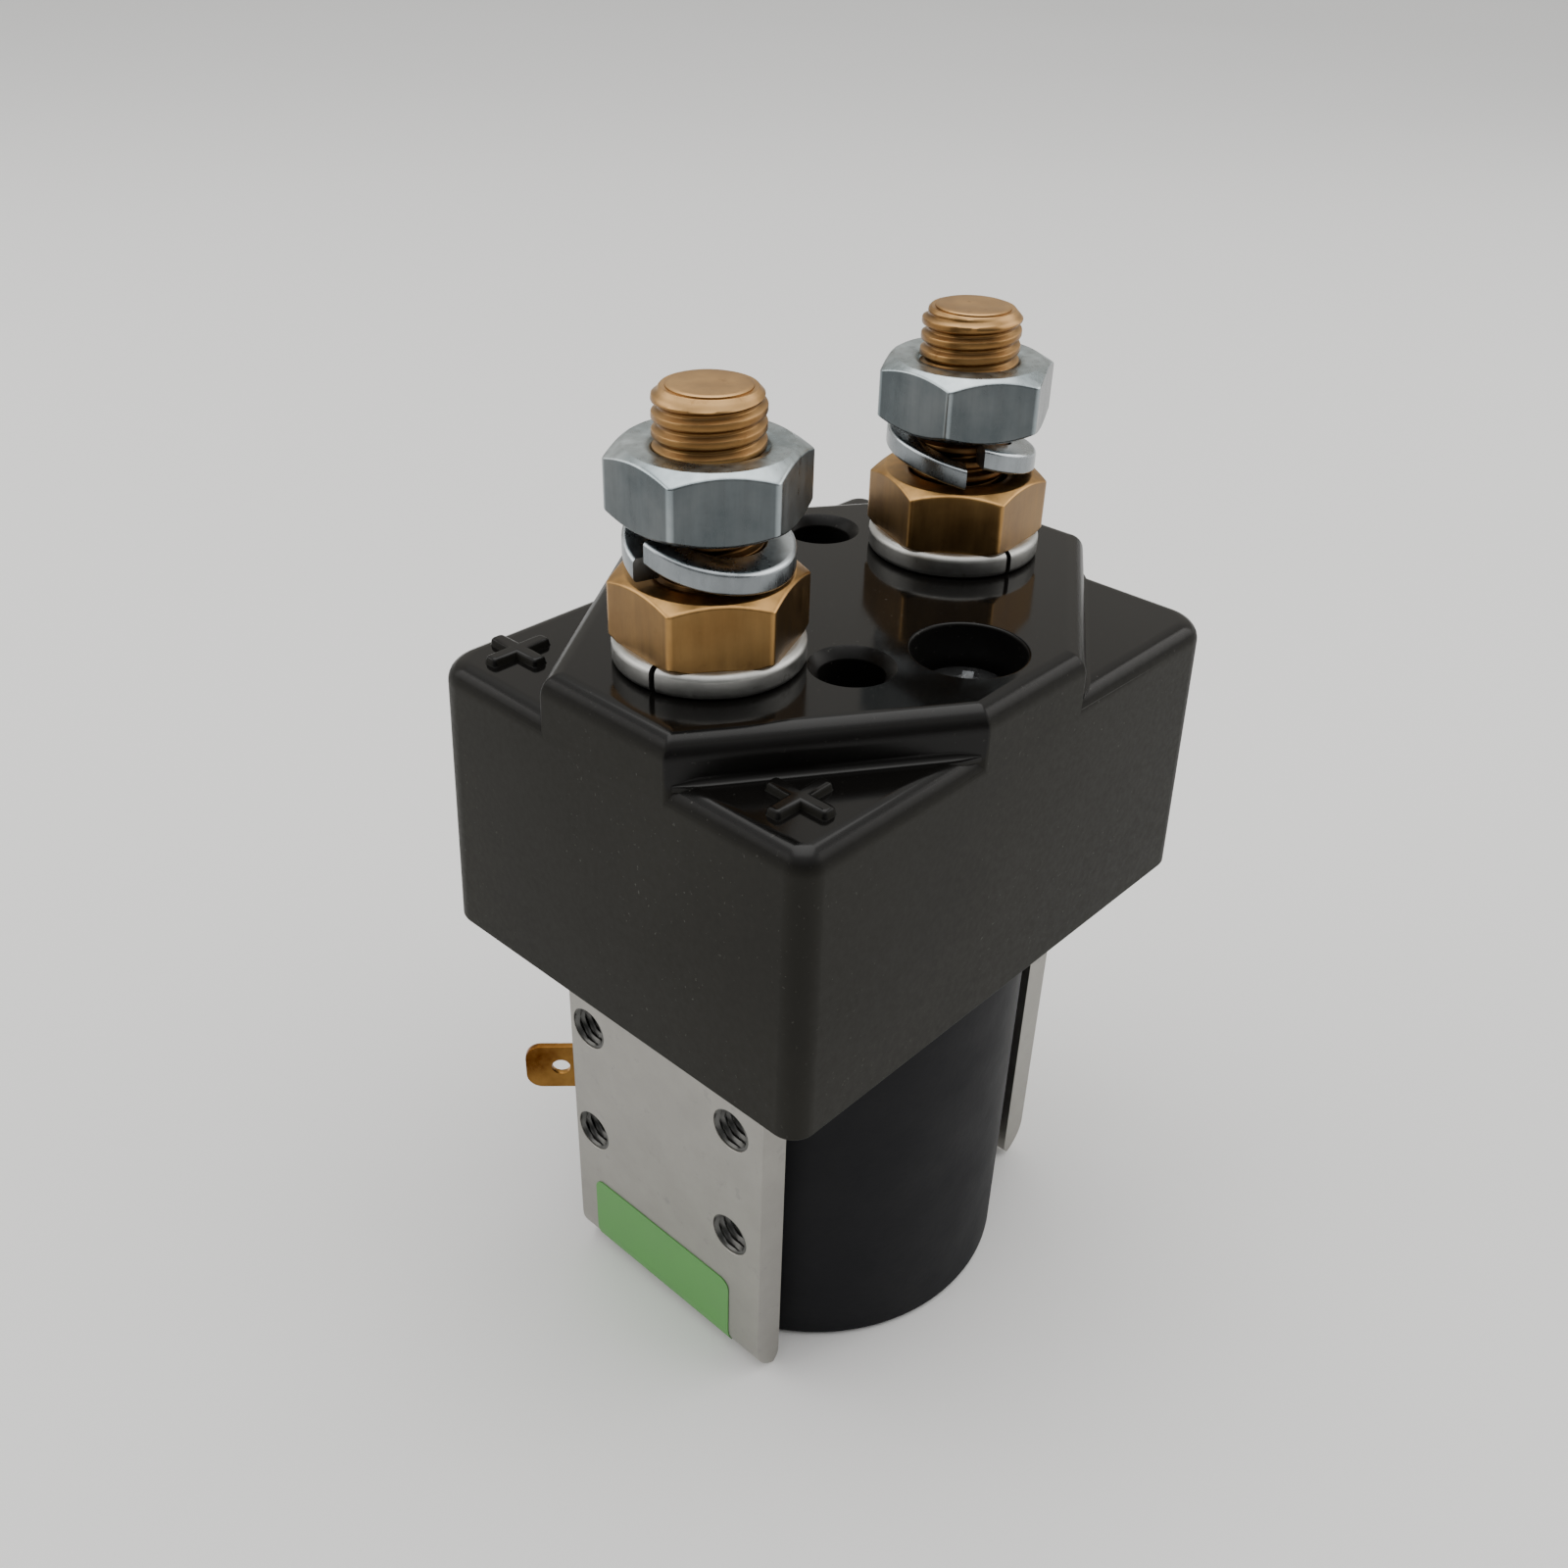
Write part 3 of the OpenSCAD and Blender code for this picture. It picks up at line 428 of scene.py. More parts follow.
def metal(name, base, rough, spread=0.08, tint=0.12, grain=900.0, bump_mm=0.01,
          hue=(1.0, 1.0, 1.0), streak=None, dark=None, upright=1.0, corners=None, grimy=None):
    """Plated or bare metal: cloudy colour, uneven roughness and a fine grain.

    hue is how far each channel clouds. streak stretches the grain into drawing lines and darkens
    some. dark is the colour of small spots. upright is the share of the colour left on upright
    faces as painted shade, and corners are the turns of the two nuts, whose corners get a painted
    highlight. grimy are the two heights in mm between which a stud is dirty, and it also brings
    painted shade into the thread grooves.
    """
    mat, tree, bsdf, pos = node_material(name)
    bsdf.inputs["Metallic"].default_value = 1.0
    cloud = noise(tree, pos, 160.0, 4.0, 0.6)
    fine = noise(tree, pos, grain, 4.0, 0.6, streak)
    low = tuple(c * (1 - tint * h) for c, h in zip(base, hue))
    high = tuple(min(1.0, c * (1 + tint)) for c in base)
    colour = ramp(tree, cloud, [(0.3, low), (0.7, high)])
    if streak:
        colour = mix(tree, 1.0, colour, ramp(tree, fine, [(0.3, 0.76), (0.7, 1.0)]), "MULTIPLY")
    if dark:
        spots = noise(tree, pos, 420.0, 5.0, 0.7)
        colour = mix(tree, ramp(tree, spots, [(0.60, 0.0), (0.72, 1.0)]), colour, dark)
    # painted shade: upright faces keep only a share of their colour
    if upright != 1.0:
        share = ramp(tree, normal_parts(tree)[2], [(0.12, upright), (0.6, 1.0)])
        # painted highlight along the nuts' corners, where the painted shade is lifted
        if corners:
            corner_highlight = times(tree, nut_corner_highlight(tree, pos, corners), 0.4)
            share = mix(tree, corner_highlight, share, (1.0, 1.0, 1.0))
        colour = mix(tree, 1.0, colour, share, "MULTIPLY")
    if grimy:
        colour = dirt_and_groove_shade(tree, pos, colour, grimy)
    roughness = span(tree, mix(tree, 0.5, cloud, fine), rough - spread, rough + spread)
    surface(tree, bsdf, colour, roughness, fine, 0.35, bump_mm)
    return mat


def plastic(name, base, rough, spread=0.05, grain=1400.0, bump_mm=0.02, tint=0.15, strength=0.3,
            shine=0.5):
    """Moulded or painted surface: cloudy colour, uneven roughness and a fine grain."""
    mat, tree, bsdf, pos = node_material(name)
    bsdf.inputs["Specular IOR Level"].default_value = shine
    cloud = noise(tree, pos, 90.0, 4.0, 0.6)
    low, high = (tuple(c * k for c in base) for k in (1 - tint, 1 + tint))
    colour = ramp(tree, cloud, [(0.3, low), (0.7, high)])
    fine = noise(tree, pos, grain, 3.0, 0.6)
    roughness = span(tree, cloud, rough - spread, rough + spread)
    surface(tree, bsdf, colour, roughness, fine, strength, bump_mm)
    return mat


def cover_material():
    """Moulded thermoset: polished on top and on the slanting steps, satin on the sides."""
    mat, tree, bsdf, pos = node_material("cover_black")
    nx, ny, nz = normal_parts(tree)
    x, y, z = split(tree, pos)
    # step is 1 on the raised top's slanting sides
    slant = span(tree, size_of(tree, times(tree, nx, ny)), 0.0, 1.0, 0.15, 0.3)
    high = span(tree, z, 0.0, 1.0, (LOW_Z - 0.6) * MM, LOW_Z * MM)
    off, rim = value(tree, "ADD", size_of(tree, x), size_of(tree, y)), (30.5 * MM, 32.0 * MM)
    step = times(tree, times(tree, slant, high), span(tree, off, 0.0, 1.0, *rim))
    # inner is 1 on all that lies inside them, which paints shade on the walls of the holes
    mid = span(tree, size_of(tree, y), 1.0, 0.0, 22.4 * MM, 23.2 * MM)
    inner = times(tree, mid, span(tree, off, 1.0, 0.0, *rim))
    up = value(tree, "MAXIMUM", span(tree, nz, 0.0, 1.0, 0.12, 0.75),
               value(tree, "MAXIMUM", step, inner))
    polish = value(tree, "MAXIMUM", span(tree, nz, 0.0, 1.0, 0.55, 0.97), times(tree, step, 0.45))

    cloud = noise(tree, pos, 70.0, 4.0, 0.6)
    fine = noise(tree, pos, 1500.0, 3.0, 0.6)
    side = ramp(tree, cloud, [(0.3, (0.0178, 0.0170, 0.0142)), (0.7, (0.0216, 0.0207, 0.0174))])
    top = ramp(tree, cloud, [(0.3, (0.0036, 0.0033, 0.0030)), (0.7, (0.0050, 0.0046, 0.0042))])
    specks = ramp(tree, noise(tree, pos, 2300.0, 2.0, 0.5), [(0.69, 0.0), (0.75, 0.6)])
    patches = ramp(tree, noise(tree, pos, 55.0, 2.0, 0.5), [(0.42, 0.15), (0.62, 1.0)])
    dust = (0.085, 0.082, 0.075)
    colour = mix(tree, times(tree, specks, patches), mix(tree, up, side, top), dust)
    rough_side = span(tree, fine, 0.44, 0.54)
    rough_top = span(tree, noise(tree, pos, 48.0, 5.0, 0.65), 0.055, 0.155)
    tree.links.new(span(tree, polish, 0.08, 0.34, 0.0, 1.0), bsdf.inputs["Specular IOR Level"])
    surface(tree, bsdf, colour, mix(tree, polish, rough_side, rough_top),
            mix(tree, up, fine, (0.5, 0.5, 0.5)), 0.25, 0.02)
    return mat


def winding_material():
    """Enamelled copper wire, its turns shown by fine ridges up the coil, with painted shade in the
    grooves and painted highlight on the crests.
    """
    mat, tree, bsdf, pos = node_material("enamelled_wire")
    bsdf.inputs["Metallic"].default_value = 0.6
    bsdf.inputs["Roughness"].default_value = 0.3
    wave = tree.nodes.new("ShaderNodeTexWave")
    wave.bands_direction = "Z"
    wave.inputs["Scale"].default_value = 2500.0 / 6.2832
    tree.links.new(pos, wave.inputs["Vector"])
    # painted shade in the grooves between turns and painted highlight on their crests
    colour = ramp(tree, wave.outputs[1], [(0.0, (0.16, 0.04, 0.015)), (1.0, (0.42, 0.14, 0.05))])
    surface(tree, bsdf, colour, None, wave.outputs[1], 0.6, 0.1)
    return mat


WARM = (1.0, 1.35, 1.7)  # brass clouds towards red
# lines up a nut's side, and round a turned piece
ROLLED, GROUND = (1.0, 1.0, 0.12), (1.0, 1.0, 6.0)
MATS = {
    "cover": cover_material(),
    "jacket": plastic("jacket_black", (0.0042, 0.0045, 0.0062), 0.62, spread=0.06, grain=1100.0,
                      bump_mm=0.05, tint=0.12, strength=0.45, shine=0.18),
    "strap": metal("strap_zinc", (0.345, 0.335, 0.310), 0.46, spread=0.05, tint=0.07, grain=700.0,
                   bump_mm=0.006, dark=(0.29, 0.285, 0.27)),
    "stud": metal("stud_brass", (0.60, 0.37, 0.16), 0.36, tint=0.16, grain=600.0, hue=WARM,
                  dark=(0.36, 0.19, 0.07), upright=(0.38, 0.34, 0.28), grimy=(88.5, 99.5)),
    "brass_nut": metal("nut_brass", (0.62, 0.37, 0.14), 0.33, spread=0.07, tint=0.18, bump_mm=0.008,
                       hue=WARM, streak=ROLLED, dark=(0.44, 0.25, 0.09), upright=0.37,
                       corners=BRASS_TURNS),
    "steel_nut": metal("nut_zinc", (0.61, 0.67, 0.69), 0.30, spread=0.10, tint=0.28, bump_mm=0.012,
                       hue=(1.15, 0.95, 0.85), streak=ROLLED, upright=0.188, corners=STEEL_TURNS),
    "spring_zinc": metal("washer_zinc", (0.70, 0.76, 0.80), 0.28, tint=0.22, grain=700.0,
                         streak=(1.0, 1.0, 0.25), upright=0.36),
    "dull_zinc": metal("seat_washer_zinc", (0.54, 0.54, 0.52), 0.42, tint=0.22, grain=700.0,
                       bump_mm=0.02, dark=(0.26, 0.25, 0.23), upright=0.50),
    "screw": metal("screw_zinc", (0.64, 0.65, 0.66), 0.25, spread=0.06, tint=0.10),
    "tab": metal("tab_brass", (0.30, 0.155, 0.04), 0.30, tint=0.6, grain=500.0, bump_mm=0.006,
                 hue=WARM, dark=(0.16, 0.06, 0.02), upright=0.6),
    "iron": metal("soft_iron", (0.42, 0.42, 0.42), 0.38, spread=0.06, tint=0.10, grain=500.0,
                  streak=GROUND),
    "steel": metal("ground_steel", (0.60, 0.60, 0.60), 0.24, spread=0.05, tint=0.05, grain=600.0,
                   bump_mm=0.005, streak=GROUND),
    "spring": metal("drawn_wire", (0.45, 0.46, 0.48), 0.30, spread=0.06, tint=0.10),
    "copper": metal("rolled_copper", (0.72, 0.36, 0.20), 0.34, spread=0.07, grain=600.0,
                    bump_mm=0.008, streak=(0.15, 1.0, 1.0)),
    "silver": metal("contact_silver", (0.76, 0.75, 0.72), 0.28, spread=0.06, tint=0.06),
    # threads of the tapped holes, dark as painted shade inside the holes
    "thread_shaded": metal("thread_steel_shaded", (0.10, 0.10, 0.096), 0.35, spread=0.06),
    "ferrite": plastic("ferrite_grey", (0.05, 0.05, 0.052), 0.5, spread=0.08, grain=800.0,
                       bump_mm=0.04),
    "nylon": plastic("bobbin_nylon", (0.62, 0.58, 0.48), 0.45),
    "cream": plastic("insulator_cream", (0.52, 0.42, 0.24), 0.42),
    "fibre": plastic("fibre_brown", (0.16, 0.075, 0.035), 0.65, spread=0.06, grain=700.0,
                     bump_mm=0.05),
    "green": plastic("label_green", (0.095, 0.305, 0.07), 0.55, grain=900.0, tint=0.06,
                     strength=0.2),
    "wire": winding_material(),
}


def dress(obj, mat, body, stands_for):
    """Gives a piece its material, its body, the CAD nodes it stands for, if any."""
    obj.data.materials.clear()
    obj.data.materials.append(MATS[mat])
    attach(obj, body)
    if stands_for:
        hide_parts(*stands_for)


# ---------------------------------------------------------------- cover

def lean_at(z):
    """How far the cover's sides have leant inwards at height z."""
    return LEAN * (z - COVER_Z) / (TOP_Z - COVER_Z)


def block_plan(inset, z):
    """Plan of the cover's block; the two corners at the photograph's sides are the rounder ones."""
    hx, hy = (h - lean_at(z) - inset for h in (HALF_L, HALF_W))
    side_r = SIDE_CORNER_R + 1.2 * (z - COVER_Z) / (LOW_Z - COVER_Z)
    pts = []
    for k, (sx, sy) in enumerate(((1, 1), (-1, 1), (-1, -1), (1, -1))):
        r = (side_r if k % 2 else CORNER_R) - 0.88 * inset
        pts += arc(sx * (hx - r), sy * (hy - r), r, 90 * k, 90 * k + 90, 12)
    return pts


def plateau_plan(inset, z):
    """Plan of the raised top, a hair inside the block's sides."""
    hair = 0.012
    plan = offset_polygon(PLATEAU, lean_at(z) + hair + inset)
    return round_polygon(plan, max(0.7 - 0.2 * inset, 0.25))


def level(plan, inset, z):
    """Ring of a plan at height z."""
    return [(x, y, z) for x, y in plan(inset, z)]


def edge_rings(plan, z_top, radius):
    """Rings round a rounded upper edge."""
    angles = [math.radians(10.0 * k) for k in range(10)]
    return [level(plan, radius * (1 - math.cos(a)), z_top - radius * (1 - math.sin(a)))
            for a in angles]


def add_step_fillets(cover):
    """Small fillet at the foot of each step, run out at its ends."""
    plan = offset_polygon(PLATEAU, lean_at(LOW_Z))
    size, ends = 0.75, (0.6, 1.2, 1.9, 2.8)  # its radius, and the stations near each end
    for i in (0, 2, 4, 6):
        p, q = np.array(plan[i]), np.array(plan[i + 1])
        length = np.linalg.norm(q - p)
        along = (q - p) / length
        out = np.array([along[1], -along[0]])
        rings = []
        for t in (*ends, *np.linspace(4, length - 4, 5), *(length - e for e in ends[::-1])):
            r = size * min(1.0, max(0.08, (min(t, length - t) - 0.5) / 2.6) ** 0.7)
            ring = [(-0.6, -0.5), (r, -0.5)]
            ring += [(r - r * math.sin(a), r - r * math.cos(a)) for a in quarter(7)]
            ring += [(-0.6, r)]
            rings.append([(*(p + along * t + out * s), LOW_Z + h) for s, h in ring])
        boolean(cover, new_object("fillet", *loft(rings)), "UNION")


def add_plus_marks(cover):
    """Raised plus marks with softened edges."""
    for y in PLUS_Y:
        rings = []
        for spread, height in PLUS_EDGE:
            a, b = 3.5 + spread, 0.8 + spread  # reach and half width of an arm
            q = 0.55 * b  # radius of its corners
            pts = [(b, b)]
            pts += [(a - q + q * math.sin(w), b - q + q * math.cos(w)) for w in quarter(5)]
            pts += [(a - q + q * math.cos(w), -b + q - q * math.sin(w)) for w in quarter(5)]
            ring = []
            for turn in range(4):
                c, s = math.cos(math.pi / 2 * turn), math.sin(math.pi / 2 * turn)
                ring += [(PLUS_X + u * c + v * s, y + u * s - v * c, LOW_Z + height)
                         for u, v in pts]
            rings.append(ring)
        boolean(cover, new_object("plus", *loft(rings)), "UNION")


def hollow_out(cover):
    """Pole plate's recess, contact chamber, arc spaces, magnets' slots and studs' bores."""
    recess, recess_top = rounded_rect(29.05, 21.8, 2.7), 52.0
    start, chamber_top, magnet_top = recess_top - 0.1, 76.0, 70.0
    rings = [[(x, y, z) for x, y in recess] for z in (COVER_Z - 1, recess_top)]
    hollow = new_object("hollow", *loft(rings))
    for x0, x1, y in ((-27.5, 27.5, 7.8), (-27.5, -10.2, 13), (10.2, 27.5, 13)):
        boolean(hollow, box("room", (x0, -y, start), (x1, y, chamber_top)), "UNION")
    boolean(cover, hollow)
    r, lip, low, high = 5.1, 0.15, 75, 85  # a stud's bore, its chamfer and the cutter's ends
    bore = [(0, low), (r, low), (r, TOP_Z - lip), (r + lip, TOP_Z), (r + lip, high), (0, high)]
    for x in (-STUD_X, STUD_X):
        for y in (-17.2, 17.2):
            boolean(cover, box("magnet", (x - 7.1, y - 1.9, start), (x + 7.1, y + 1.9, magnet_top)))
        boolean(cover, revolve("bore", bore, 64, at=(x, 0)))


def sink_holes(cover):
    """Counterbores with their screw holes, and the two blind sockets."""
    bore, hole, seat, lip = 5.5, 2.75, TOP_Z - BORE_DEPTH, 0.35
    below, above = 50, 86  # the cutters' ends
    rim = np.radians((30, 60, 90))
    prof = [(0, below), (hole, below), (hole, seat), (bore - 0.2, seat), (bore, seat + 0.2)]
    prof += [(bore, TOP_Z - lip)]
    prof += [(bore + lip * (1 - math.cos(a)), TOP_Z - lip + lip * math.sin(a)) for a in rim]
    prof += [(6.2, TOP_Z + 0.001), (6.2, above), (0, above)]
    for y in (-SCREW_Y, SCREW_Y):
        boolean(cover, revolve("counterbore", prof, 96, at=(0, y)))
    prof = [(0, TOP_Z - 5.5), (2.9, TOP_Z - 5.5), (3.1, TOP_Z - 5.3), (3.1, TOP_Z - 1.05),
            (3.2, TOP_Z - 0.9), (3.95, TOP_Z - 0.15), (4.15, TOP_Z), (4.15, above), (0, above)]
    for at in ((-10.3, -10.5), (11.4, 12.7)):
        boolean(cover, revolve("socket", prof, 80, at=at))


def build_cover():
    """Moulded cover: block, raised top, fillets, marks, hollows and holes."""
    foot = ((0.25, 0.0), (0.08, 0.08), (0.0, 0.25))  # inset and rise of the softened lower edge
    rings = [[(x, y, COVER_Z + rise) for x, y in block_plan(inset, COVER_Z)]
             for inset, rise in foot]
    cover = new_object("cover_shell", *loft(rings + edge_rings(block_plan, LOW_Z, EDGE_R)))
    inside = 70.0  # height within the block where the raised top starts
    rings = [level(plateau_plan, 0.0, inside)] + edge_rings(plateau_plan, TOP_Z, EDGE_R)
    boolean(cover, new_object("plateau", *loft(rings)), "UNION")
    add_step_fillets(cover)
    add_plus_marks(cover)
    hollow_out(cover)
    sink_holes(cover)
    weigh(cover, 35.0)
    dress(cover, "cover", "frame", ["top_cover"])


# ---------------------------------------------------------------- studs, nuts, washers, screws

def thread_profile(crest, root):
    """Radius at a share of one pitch: flat crest, sloping flank, rounded root, flank."""
    ease = 0.08 * (crest - root)  # how far the roundings reach along a flank
    return [(0.0, crest), (0.20, crest), (0.27, crest - ease), (0.44, root + ease), (0.50, root),
            (0.62, root), (0.68, root + ease), (0.86, crest - ease), (0.93, crest)]


def helix(x, z0, z1, phase, limit):
    """Points and faces of a stud's thread; limit(z, r) caps the radius r at height z."""
    steps = 96
    n = steps + 1
    first, last = math.floor((z0 - phase) / PITCH) - 2, math.ceil((z1 - phase) / PITCH) + 2
    rows = [(phase + (k + share) * PITCH, r)
            for k in range(first, last) for share, r in thread_profile(4.95, 4.38)]
    verts = []
    for z_row, r in rows:
        for i in range(n):
            z = min(max(z_row + PITCH * i / steps, z0), z1)
            verts.append(polar(limit(z, r), 2 * math.pi * i / steps, z, x))
    faces = [(k * n + i, k * n + i + 1, (k + 1) * n + i + 1, (k + 1) * n + i)
             for k in range(len(rows) - 1) for i in range(steps)]
    return verts, faces


def build_stud(side):
    """Stud with a helical thread, a turned end and a head with two flats; side is -1 or 1."""
    x = side * STUD_X
    name, phase = ("left", 0.55) if side < 0 else ("right", 0.15)
    chamfer, thread_z = 1.05, STUD_TOP - 0.22
    shoulder_r, shank_r, edge, foot, shoulder_z, shank_z = 8.0, 5.0, 0.4, 72.8, 77.0, 83.1

    def limit(z, r):
        return min(r, 4.96 - max(0.0, z - (STUD_TOP - chamfer)) * 0.95)

    thread = new_object("thread", *helix(x, 83.0, thread_z, phase, limit), 38.0)
    rim = limit(thread_z, 9) + 0.01
    # radius and depth below the top: a shallow dish with a groove round it
    end = [(0, 0.05), (1.0, 0.04), (2.4, 0.01), (3.35, 0.0), (3.62, 0.03), (3.74, 0.12),
           (3.76, 0.25), (3.86, 0.27), (rim - 0.06, 0.2), (rim, 0.24), (rim, 0.5), (0, 0.8)]
    cap = revolve("cap", [(r, STUD_TOP - down) for r, down in end], at=(x, 0))
    head = [(0, foot), (shoulder_r - edge, foot), (shoulder_r, foot + edge),
            (shoulder_r, shoulder_z), (shank_r, shoulder_z), (shank_r, shank_z), (4.0, shank_z),
            (0, shank_z)]
    shank = revolve("shank", head, at=(x, 0))
    for low, high in ((-12.0, -6.5), (6.5, 12.0)):
        boolean(shank, box("flat", (x - 10, low, 72), (x + 10, high, shoulder_z - 0.001)))
    stud = join([thread, cap, shank], f"stud_{name}_threaded")
    shade(stud, 38.0)
    dress(stud, "stud", "frame", ["stud_" + name])


def soft_min(a, b, k):
    """The smaller of a and b, eased over k where they meet."""
    h = max(k - abs(a - b), 0.0) / k
    return min(a, b) - h * h * k * 0.25


def nut_mesh(x, z, h, turn, top_r, foot_r, corner_soft):
    """Points and faces of a hexagon nut, chamfered to top_r and foot_r, with a threaded bore."""
    steps, mouth, minor, major = 288, 5.4, 4.35, 4.98
    slope, apothem = math.tan(math.radians(30)), ACROSS_FLATS / 2
    near = [0.0, 0.025] + [0.06 * k for k in range(1, 22)]
    levels = sorted(set(near + [h - v for v in near] + list(np.linspace(1.6, h - 1.6, 4))))
    angles = [2 * math.pi * i / steps for i in range(steps)]
    n_in = int(h / 0.25)
    inner, outer = [], []
    for w in (h * k / n_in for k in range(n_in + 1)):
        shares = (((z + w - 0.35) / PITCH - i / steps) % 1.0 for i in range(steps))
        radii = (minor + (major - minor) * abs(s * 2 - 1) for s in shares)
        inner.append([(a, w, max(r, mouth - min(w, h - w))) for a, r in zip(angles, radii)])
    for w in levels:
        cone = min(foot_r + w / slope, top_r + (h - w) / slope)
        row = []
        for a in angles:
            q = (math.degrees(a) - turn) % 60.0 - 30.0
            s0, s1, s2 = (apothem / max(0.2, math.cos(math.radians(q + d)))
                          for d in (0.0, 60.0, -60.0))
            r = soft_min(soft_min(s0, s1, corner_soft), s2, corner_soft)
            row.append((a, w, soft_min(r, cone, 0.26)))
        outer.append(row)
    # up the bore, out over the top, down the outside and in under the foot
    across = (0.25, 0.6, 0.9)
    land_top = [[(a, h, mouth + (r - mouth) * t) for a, _, r in outer[-1]] for t in across]
    land_foot = [[(a, 0.0, mouth + (r - mouth) * t) for a, _, r in outer[0]]
                 for t in across[::-1]]
    rows = inner + land_top + outer[::-1] + land_foot
    return sleeve([[polar(r, a, z + w, x) for a, w, r in row] for row in rows])


def build_nuts(name, node, mat, z, h, turns, top_r, foot_r, corner_soft):
    """Two nuts of height h from z upwards, as one piece."""
    obj = join([new_object(name, *nut_mesh(x, z, h, turn, top_r, foot_r, corner_soft), 70.0)
                for x, turn in zip((-STUD_X, STUD_X), turns)], name)
    shade(obj, 70.0)
    dress(obj, mat, "frame", [node])


def washer_section(r_in, r_out, t, soft_out):
    """Rounded section of a washer, counter-clockwise in (radius, height)."""
    soft_in = 0.15
    pts = arc(r_in + soft_in, soft_in, soft_in, 180, 270, 3)
    pts += arc(r_out - soft_out, soft_out, soft_out, 270, 360, 6)
    pts += arc(r_out - soft_out, t - soft_out, soft_out, 0, 90, 6)
    pts += arc(r_in + soft_in, t - soft_in, soft_in, 90, 180, 3)
    return pts


def split_washers(name, node, mat, z, turns, gap, section, rise=0.0, lean=0.0):
    """Two washers cut through at turns, as one piece. One end of each stands rise above the other,
    and the ring leans by the share lean of that."""
    r_out = max(r for r, _ in section)
    count = 144
    objs = []
    for x, turn in zip((-STUD_X, STUD_X), turns):
        start = math.radians(turn + gap / 2)
        rings = []
        for k in range(count + 1):
            a, foot = start + math.radians((360.0 - gap) * k / count), z + rise * (1 - k / count)
            tilt = rise * lean * math.sin(a - start) / r_out
            rings.append([polar(r, a, foot + h - tilt * r, x) for r, h in section])
        objs.append(new_object("washer", *loft(rings), 40.0))
    obj = join(objs, name)
    shade(obj, 40.0)
    dress(obj, mat, "frame", [node])


def build_screws():
    """Pan-head screws with a cross recess."""
    seat, rim = TOP_Z - BORE_DEPTH + SCREW_WASHER_T, 4.75
    prof = [(0, 49.3), (2.2, 49.3), (2.5, 49.6), (2.5, seat), (4.5, seat),
            (rim, seat + 0.25), (rim, seat + 2.0)]
    crown = np.radians((25, 50, 75))
    prof += [(rim - 1.4 * (1 - math.cos(a)), seat + 2.0 + 1.35 * math.sin(a)) for a in crown]
    prof += [(2.4, seat + 3.55), (1.2, seat + 3.67), (0, seat + 3.7)]
    low, high = seat + 1.9, seat + 4.2
    cone = [(0, seat + 1.6), (1.0, seat + 1.6), (1.7, high), (0, high)]
    objs = []
    for y in (-SCREW_Y, SCREW_Y):
        screw = revolve("screw", prof, 72, at=(0, y))
        cross = box("cross", (-2.5, -0.55, low), (2.5, 0.55, high))
        boolean(cross, box("cross", (-0.55, -2.5, low), (0.55, 2.5, high)), "UNION")
        boolean(cross, revolve("cone", cone, 24), "UNION")
        turn = Matrix.Rotation(math.radians(30), 4, "Z")
        cross.data.transform(Matrix.Translation((0, y * MM, 0)) @ turn)
        boolean(screw, cross)
        objs.append(screw)
    obj = join(objs, "pan_head_screws")
    weigh(obj, 35.0)
    dress(obj, "screw", "frame", ["cover_screws"])


# ---------------------------------------------------------------- strap, coil, tabs, label, springs

def strap_profile():
    """Side view of the bent strap: down and up its outside, then down and up its inside."""
    x, r, ri = STRAP_X, BEND_R, BEND_R - STRAP_T
    prof = [(-x, ARM_TOP)] + [(-x + r - r * math.cos(a), r - r * math.sin(a)) for a in quarter(13)]
    prof += [(x - r + r * math.sin(a), r - r * math.cos(a)) for a in quarter(13)] + [(x, ARM_TOP)]
    prof += [(x - STRAP_T, ARM_TOP)]
    prof += [(x - r + ri * math.cos(a), r - ri * math.sin(a)) for a in quarter(9)]
    prof += [(-x + r - ri * math.sin(a), r - ri * math.cos(a)) for a in quarter(9)]
    prof += [(-x + STRAP_T, ARM_TOP)]
    return prof


def tap_sleeve():
    """Points and faces of a sleeve with an M5 thread inside, along z from an arm's face."""
    steps, start, length, pitch = 36, 0.16, 3.22, 0.8
    angles = [2 * math.pi * i / steps for i in range(steps)]
    rings = []
    for w in (start + length * k / 28 for k in range(29)):
        depth = (1 - abs(((w / pitch - i / steps) % 1.0) * 2 - 1) for i in range(steps))
        rings.append([polar(2.5 - 0.42 * d, a, w) for a, d in zip(angles, depth)])
    rings += [[polar(2.52, a, w) for a in angles] for w in (start + length, start)]
    return sleeve(rings)


